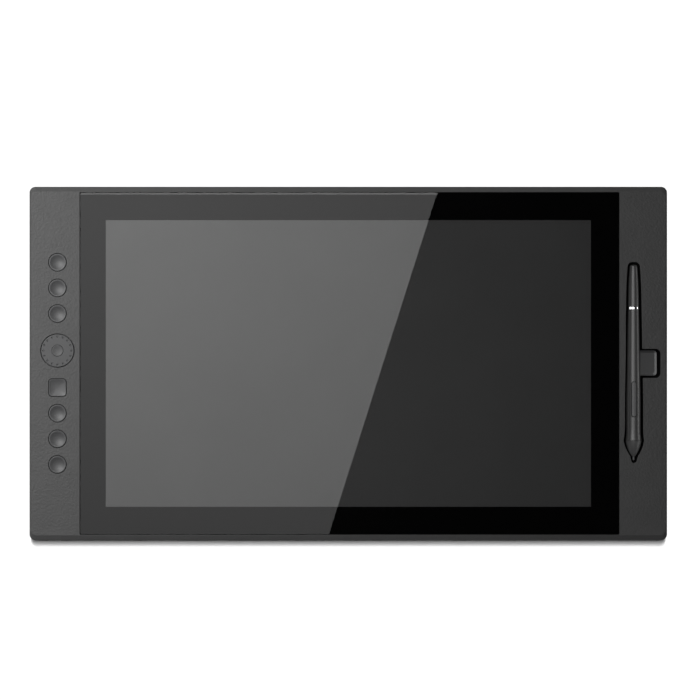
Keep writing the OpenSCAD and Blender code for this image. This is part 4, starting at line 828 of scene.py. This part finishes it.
# cover: elliptic edge and wall rings, a panel with two slots in the far wall, seats and vents in the floor
def buildRear(c):
    a = np.radians(np.linspace(0, 90, 15))
    base, cut, wall, radius = c["base"], c["seamCut"], c["wall"], c["cornerR"]
    insets = [c["edgeIn"] + c["edgeBand"], *(c["edgeIn"] * (1 - np.sin(a))), 0]
    loops = [bodyRing(radius, i, i) for i in insets]
    loops += [bodyRing(radius - i, i, i) for i in (cut, wall, wall)]
    edge = base + c["edgeUp"] * (1 - np.cos(a))
    heights = [base, *edge, c["seam"] - cut, c["seam"], c["seam"], c["floor"]]
    outerRow, innerRow, farColumn = len(loops) - 5, len(loops) - 2, 2 * cornerSteps - 1
    patches = [stackLoops(loops, heights, [(outerRow, farColumn), (innerRow, farColumn)])]
    slotAt = lambda name, o: stadium((c[name + "X"], portZ), c[name + "W"] + 2 * (c[name + "Gap"] + o),
                                     c[name + "H"] + 2 * (c[name + "Gap"] + o))
    farY, innerY, edge = bodyH / 2, bodyH / 2 - wall, c["portRound"]
    for row, low, high, y, o in ((outerRow, heights[outerRow], heights[outerRow + 1], farY, edge + support),
                                 (innerRow, c["floor"], c["seam"], innerY, 0)):
        left, right = loops[row][farColumn + 1, 0], loops[row][farColumn, 0]
        panel = np.array([[left, low], [right, low], [right, high], [left, high]])
        patches.append(standUp(fillFlat(panel, [slotAt(name, o) for name in ("socket", "power")], y)))
    for name in ("socket", "power"):
        patches.append(standUp(holeRings(lambda o: slotAt(name, o), innerY, farY, edge)))
    feet = [stadium(m, c["footL"] + 2 * c["footGap"], c["footW"] + 2 * c["footGap"]) for m in footSpots]
    seats = [circle(*m, c["seatR"], 64) for m in screwSpots]
    for loop, deep in [(f, c["footSink"]) for f in feet] + [(s, c["seatDeep"]) for s in seats]:
        patches += pocket(loop, base, base + deep)
    ventAt = lambda m, o: stadium(m, c["ventL"] + 2 * o, c["ventW"] + 2 * o, 14, True)
    vr = c["ventRound"]
    for m in ventSpots:
        patches.append(turnDown(holeRings(lambda o: ventAt(m, o), 2 * base - c["floor"], base, vr), base))
    patches += [fillFlat(loops[0], feet + seats + [ventAt(m, vr + support) for m in ventSpots], base),
                fillFlat(loops[-1], [ventAt(m, 0) for m in ventSpots], c["floor"])]
    return patches


makePiece("rearCover", buildRear(rearCover), "rear_housing", "tablet", ["rear_cover"])

# rubber feet: slot-shaped pads with a rounded lower edge and a shallow tread
rubberFoot = dict(edge=0.6, top=2.0, treadPitch=2.1, treadDepth=0.18, treadW=0.7, treadIn=1.0)


# loops drawn in over the rounded edge; the tread is a row of slots of one depth across the foot
def buildFeet(f):
    inset, rise = roundOver(f["edge"], 8)
    length, width = rearCover["footL"], rearCover["footW"]
    half = length / 2 - width / 2
    heights = [f["top"], *(f["edge"] - rise)]
    patches = []
    for m in footSpots:
        loops = [stadium(m, length - 2 * o, width - 2 * o, 40) for o in (0, *inset)]
        grooves = [stadium((m[0] + x, m[1]), width - 2 * f["edge"] - 2 * f["treadIn"], f["treadW"], 6, True)
                   for x in np.arange(-half, half + 0.1, f["treadPitch"])]
        patches += [stackLoops(loops, heights), fillFlat(loops[0], [], f["top"]),
                    fillFlat(loops[-1], grooves, 0)]
        for groove in grooves:
            patches += pocket(groove, 0, f["treadDepth"])
    return patches


makePiece("rubberFeet", buildFeet(rubberFoot), "rubber", "tablet", ["rubber_feet"])

# case screws: heads with a six-lobed recess, on plain shanks
caseScrew = dict(headR=2.3, headLow=1.8, headHigh=3.1, shankR=1.2, edge=0.3, recessR=1.15, lobe=0.16,
                 recessDeep=0.8, soft=0.06, floorSoft=0.05)


# head on a radius and angle grid: recess where the radius is under R + lobe cos 6a, then edge and shank
def buildScrews(s):
    tip = nodeBox("case_screws")[1][2]
    angle = np.linspace(0, 2 * np.pi, 72, endpoint=False)
    wall = s["recessR"] + s["lobe"] * np.cos(6 * angle)
    low, soft, head, bend = s["headLow"], s["soft"], s["headR"], s["floorSoft"]
    deep = low + s["recessDeep"]
    inset, rise = roundOver(s["edge"])
    rows = [(0 * wall, deep), (wall * 0.5, deep), (wall - bend, deep), (wall, deep - bend),
            (wall, low + soft), (wall + soft, low), (wall + 2 * soft, low)]
    outside = [(head - s["edge"] - support, low), *zip(head - inset[::-1], low + s["edge"] - rise[::-1]),
               (head, s["headHigh"]), (s["shankR"], s["headHigh"]), (s["shankR"], tip), (0, tip)]
    rows += [(q + 0 * wall, z) for q, z in outside]
    r = np.array([radius for radius, z in rows])
    height = np.array([[z] for radius, z in rows]) + 0 * r
    one = np.dstack([r * np.cos(angle), r * np.sin(angle), height]).reshape(-1, 3)
    return [(one + [x, y, 0], gridQuads(*r.shape).reshape(-1, 4)) for x, y in screwSpots]


makePiece("caseScrews", buildScrews(caseScrew), "dark_screws", "tablet", ["case_screws"])

# power key: slot-shaped cap in the far wall, with its flange and stem
powerKey = dict(edge=0.25, flange=0.6, flangeY=(121.1, 121.9), stemR=0.9)


# slot-shaped loops from the flange to the cap, rounded over at the front and drawn in to the middle line
def buildPowerKey(k):
    low, high = nodeBox("power_key")
    middle, length, height = (rearCover["powerX"], portZ), rearCover["powerW"], rearCover["powerH"]
    inset, rise = roundOver(k["edge"])
    ring = lambda o: stadium(middle, length - 2 * o, height - 2 * o)
    loops = [ring(-k["flange"]), ring(-k["flange"]), ring(0)] + [ring(o) for o in inset]
    at = [*k["flangeY"], k["flangeY"][1], *(high[1] - k["edge"] + rise)]
    stem = circle(*middle, k["stemR"], 48)
    patches = [stackLoops(loops, at), fillFlat(loops[-1], [], high[1]), fillFlat(loops[0], [stem], at[0])]
    return [standUp(p) for p in patches + pocket(stem, at[0], low[1])]


makePiece("powerKey", buildPowerKey(powerKey), "keys", "power_key", ["power_key"])

# CAD nodes that stay as they are, with the finish of each
stayingNodes = {
    "border_print": ["border_print"], "tape": ["glass_tape"], "screen": ["lcd_cell"],
    "films": ["optical_films", "reflector_sheet"], "light_guide": ["light_guide"], "lamps": ["led_strip"],
    "sheet_metal": ["panel_chassis", "shield_plate", "pressure_cell"],
    "board": ["digitizer_board", "main_board", "key_board", "pen_board"],
    "component": ["board_chips", "power_switch", "key_switches", "dial_encoder", "usb_c_tongue",
                  "pen_switches"],
    "connector": ["board_connectors"], "port_shell": ["usb_c_shell"],
    "screws": ["panel_screws", "board_screws", "key_board_screws", "tray_screws"],
    "cable": ["panel_cable", "sensor_cable"], "white_cable": ["key_cable"], "tray": ["pen_tray"],
    "rotor": ["encoder_rotor"], "ferrite": ["pen_ferrite"], "copper": ["pen_coil"],
}
for lookName, nodeNames in stayingNodes.items():
    for nodeName in nodeNames:
        for place in frame["nodes"][nodeName].material_slots:
            place.material = looks[lookName]
print("finishes on", sum(map(len, stayingNodes.values())), "CAD nodes")

# camera: straight down, the frame's width across the face set by the lens and the distance
view = dict(lens=250.0, width=0.4916, x=0.0012, y=0.00945)
camera = addObject("camera", bpy.data.cameras.new("camera"))
camera.data.lens = view["lens"]
camera.data.clip_end = 50
distance = view["width"] * view["lens"] / camera.data.sensor_width
camera.location = (view["x"], view["y"], faceTop * mm + distance)
bpy.context.scene.camera = camera


# stage piece of one flat face at a height
def addSheet(name, corners, height, material):
    mesh = bpy.data.meshes.new(name)
    mesh.from_pydata([(*p, height) for p in corners], [], [range(len(corners))])
    mesh.materials.append(material)
    obj = addObject(name, mesh)
    return obj


# reflector card: its right edge, mirrored in the glass, is the slanted edge of the glare
card = dict(
    height=1.2, topEdge=(62.7, 120.6), lowEdge=(-13.6, -120.0), wide=0.64, beyond=(0.24, 0.27),
    bright=(1.02, 1.42), brightY=(-0.25, 0.25), farGlow=1.6, farY=(0.21, 0.28),
    cornerGlow=0.30, cornerX=(0.07, -0.19), cornerY=(-0.17, 0.13),
)


# glow that grows along y, with more at the far end and the product of two ramps more in the far left corner
def cardShader(tree, c):
    place = addNode(tree, "TexCoord").outputs["Object"]
    axes = addNode(tree, "SeparateXYZ", Vector=place).outputs
    bright = spanOf(tree, axes["Y"], *c["bright"], *c["brightY"])
    far = spanOf(tree, axes["Y"], 0.0, c["farGlow"], *c["farY"], interpolation_type="SMOOTHSTEP")
    leftward = spanOf(tree, axes["X"], 0.0, 1.0, *c["cornerX"])
    farward = spanOf(tree, axes["Y"], 0.0, c["cornerGlow"], *c["cornerY"])
    corner = addNode(tree, "Math", leftward, farward, bright, operation="MULTIPLY_ADD").outputs["Value"]
    total = addNode(tree, "Math", corner, far, operation="ADD").outputs["Value"]
    return addNode(tree, "Emission", Strength=total)


# a glass point p shows the card at p + (p - c) h / H: c the camera's foot, H its height, h the card's
def buildCard(c):
    foot = np.array([view["x"], view["y"]])
    share = c["height"] / distance
    near, far = [np.array(p) * mm + (np.array(p) * mm - foot) * share for p in (c["lowEdge"], c["topEdge"])]
    along = (far - near) / np.linalg.norm(far - near)
    left = np.array([-along[1], along[0]]) * c["wide"]
    start, end = near - along * c["beyond"][0], far + [0, c["beyond"][1]]
    corners = [start + left, end + left, end, far, start]
    obj = addSheet("glareCard", corners, faceTop * mm + c["height"], shadedBy(cardShader, "glareCard", c))
    obj.visible_camera = obj.visible_shadow = False
    return obj


# floor: pale sheet, seen only from above; its own row of suns lays a short shadow towards the user
floor = dict(half=6.0, colour=0.86, thrown=0.45, tilts=(4.0, 8.2, 12.0, 14.6, 16.4, 18.4), strength=4.0,
             soft=1.5)


# diffuse sheet, duller in the light that it throws back, and see-through from below
def floorShader(tree, f):
    sheet = addNode(tree, "BsdfDiffuse", Color=spanOf(tree, seenRays(tree), f["thrown"], f["colour"]))
    through = addNode(tree, "BsdfTransparent")
    back = addNode(tree, "NewGeometry").outputs["Backfacing"]
    return addNode(tree, "MixShader", back, sheet.outputs["BSDF"], through.outputs["BSDF"])


cardObject = buildCard(card)
h = floor["half"]
addSheet("floor", [(-h, -h), (h, -h), (h, h), (-h, h)], 0, shadedBy(floorShader, "floor", floor))

# lists for the lamps: objects that a lamp lights, that it spares, or that throw no shadow for it
penPieces = ["penNose", "penBarrel", "penRocker", "penTail", "penNib"]
lightLists = dict(
    sparesFloor=("EXCLUDE", penPieces + ["penRing", "fingerRest", "coverGlass", "lcd_cell", "floor"]),
    screenOnly=("INCLUDE", ["lcd_cell"]),
    penBody=("INCLUDE", penPieces),
    penOnly=("INCLUDE", penPieces + ["penRing"]),
    ringOnly=("INCLUDE", ["penRing"]),
    restOnly=("INCLUDE", ["fingerRest"]),
    underOnly=("INCLUDE", ["rearCover", "rubberFeet", "caseScrews"]),
    floorOnly=("INCLUDE", ["floor"]),
    cardLit=("EXCLUDE", ["fingerRest", "floor"]),
    throughFloor=("EXCLUDE", ["floor"]),
)
lit = {}
for listName, (state, names) in lightLists.items():
    lit[listName] = bpy.data.collections.new(listName)
    for name in names:
        source = frame["nodes"] if name in frame["nodes"] else bpy.data.objects
        lit[listName].objects.link(source[name])
        lit[listName].collection_objects[-1].light_linking.link_state = state
cardObject.light_linking.receiver_collection = lit["cardLit"]

# lamps: a key lamp high at the far left, one at its place that lights the screen and shows in no reflection,
# a broad one over the pen, a long low one at its right, one each for ring and rest, and one below the floor
keySpot = dict(spot=(-0.50, 0.25, 0.66), aim=(-0.28, 0.0, 0.018), size=(0.34, 0.34), spread=120, watts=2.25)
lamps = dict(
    keyLamp=dict(keySpot, lights="sparesFloor"),
    screenLamp=dict(keySpot, lights="screenOnly"),
    penOver=dict(spot=(0.017, 0.145, 0.90), aim=(0.2, 0.0, 0.018), size=(0.65, 1.0), watts=3.8,
                 lights="penBody"),
    penLamp=dict(spot=(0.80, -0.10, 0.09), aim=(0.2, -0.1, 0.018), size=(0.60, 0.10), watts=0.68,
                 lights="penOnly"),
    ringLamp=dict(spot=(-0.046, 0.04, 0.333), aim=(0.2, 0.04, 0.018), size=(0.30, 1.23), watts=1.8,
                  lights="ringOnly"),
    restLamp=dict(spot=(0.54, -0.06, 0.92), aim=(0.25, 0.13, 0.013), size=(0.60, 0.30), watts=2.3,
                  lights="restOnly"),
    underLamp=dict(spot=(-0.45, 0.45, -0.70), aim=(0.0, 0.0, 0.0), size=(0.60, 0.60), watts=10.0,
                   lights="underOnly"),
)


# area lamp at a spot, turned so that its face looks at its aim
def addLamp(name, lamp):
    data = bpy.data.lights.new(name, "AREA")
    data.energy, data.spread, data.shape = lamp["watts"], math.radians(lamp.get("spread", 180)), "RECTANGLE"
    data.size, data.size_y = lamp["size"]
    obj = addObject(name, data)
    obj.location = lamp["spot"]
    obj.rotation_euler = (Vector(lamp["aim"]) - Vector(lamp["spot"])).to_track_quat("-Z", "Y").to_euler()
    obj.light_linking.receiver_collection = lit[lamp["lights"]]


for lampName, lamp in lamps.items():
    addLamp(lampName, lamp)
bpy.data.objects["screenLamp"].visible_glossy = False
bpy.data.objects["underLamp"].light_linking.blocker_collection = lit["throughFloor"]
for i, tilt in enumerate(floor["tilts"]):
    sun = addObject("floorLamp%d" % i, bpy.data.lights.new("floorLamp%d" % i, "SUN"))
    sun.data.energy, sun.data.angle = floor["strength"] / len(floor["tilts"]), math.radians(floor["soft"])
    sun.rotation_euler = (-math.radians(tilt), 0, 0)
    sun.light_linking.receiver_collection = lit["floorOnly"]

# sky: white where the camera sees it, plainly or through glass; as light it is pale at the horizon and dim
# overhead, and reflections show it white at the horizon
sky = dict(overhead=0.01, horizon=0.4, reach=0.2)


# level falls smoothly from the horizon to overhead with the share of z, and rays that show it plainly get 1
def buildSky(s):
    world = bpy.data.worlds.new("world")
    bpy.context.scene.world = world
    world.use_nodes = True
    tree = world.node_tree
    axes = addNode(tree, "SeparateXYZ", Vector=addNode(tree, "TexCoord").outputs["Generated"]).outputs
    steep = addNode(tree, "Math", axes["Z"], operation="ABSOLUTE").outputs["Value"]
    horizon = spanOf(tree, addNode(tree, "LightPath").outputs["Is Glossy Ray"], s["horizon"], 1.0)
    level = spanOf(tree, steep, horizon, s["overhead"], 0.0, s["reach"], interpolation_type="SMOOTHSTEP")
    glow = addNode(tree, "Math", level, seenRays(tree), operation="MAXIMUM").outputs["Value"]
    feed(tree, tree.nodes["Background"], Color=(1, 1, 1, 1), Strength=glow)


buildSky(sky)
bpy.context.scene.view_settings.view_transform = "Standard"
print("camera, lamps, card, floor and world set")
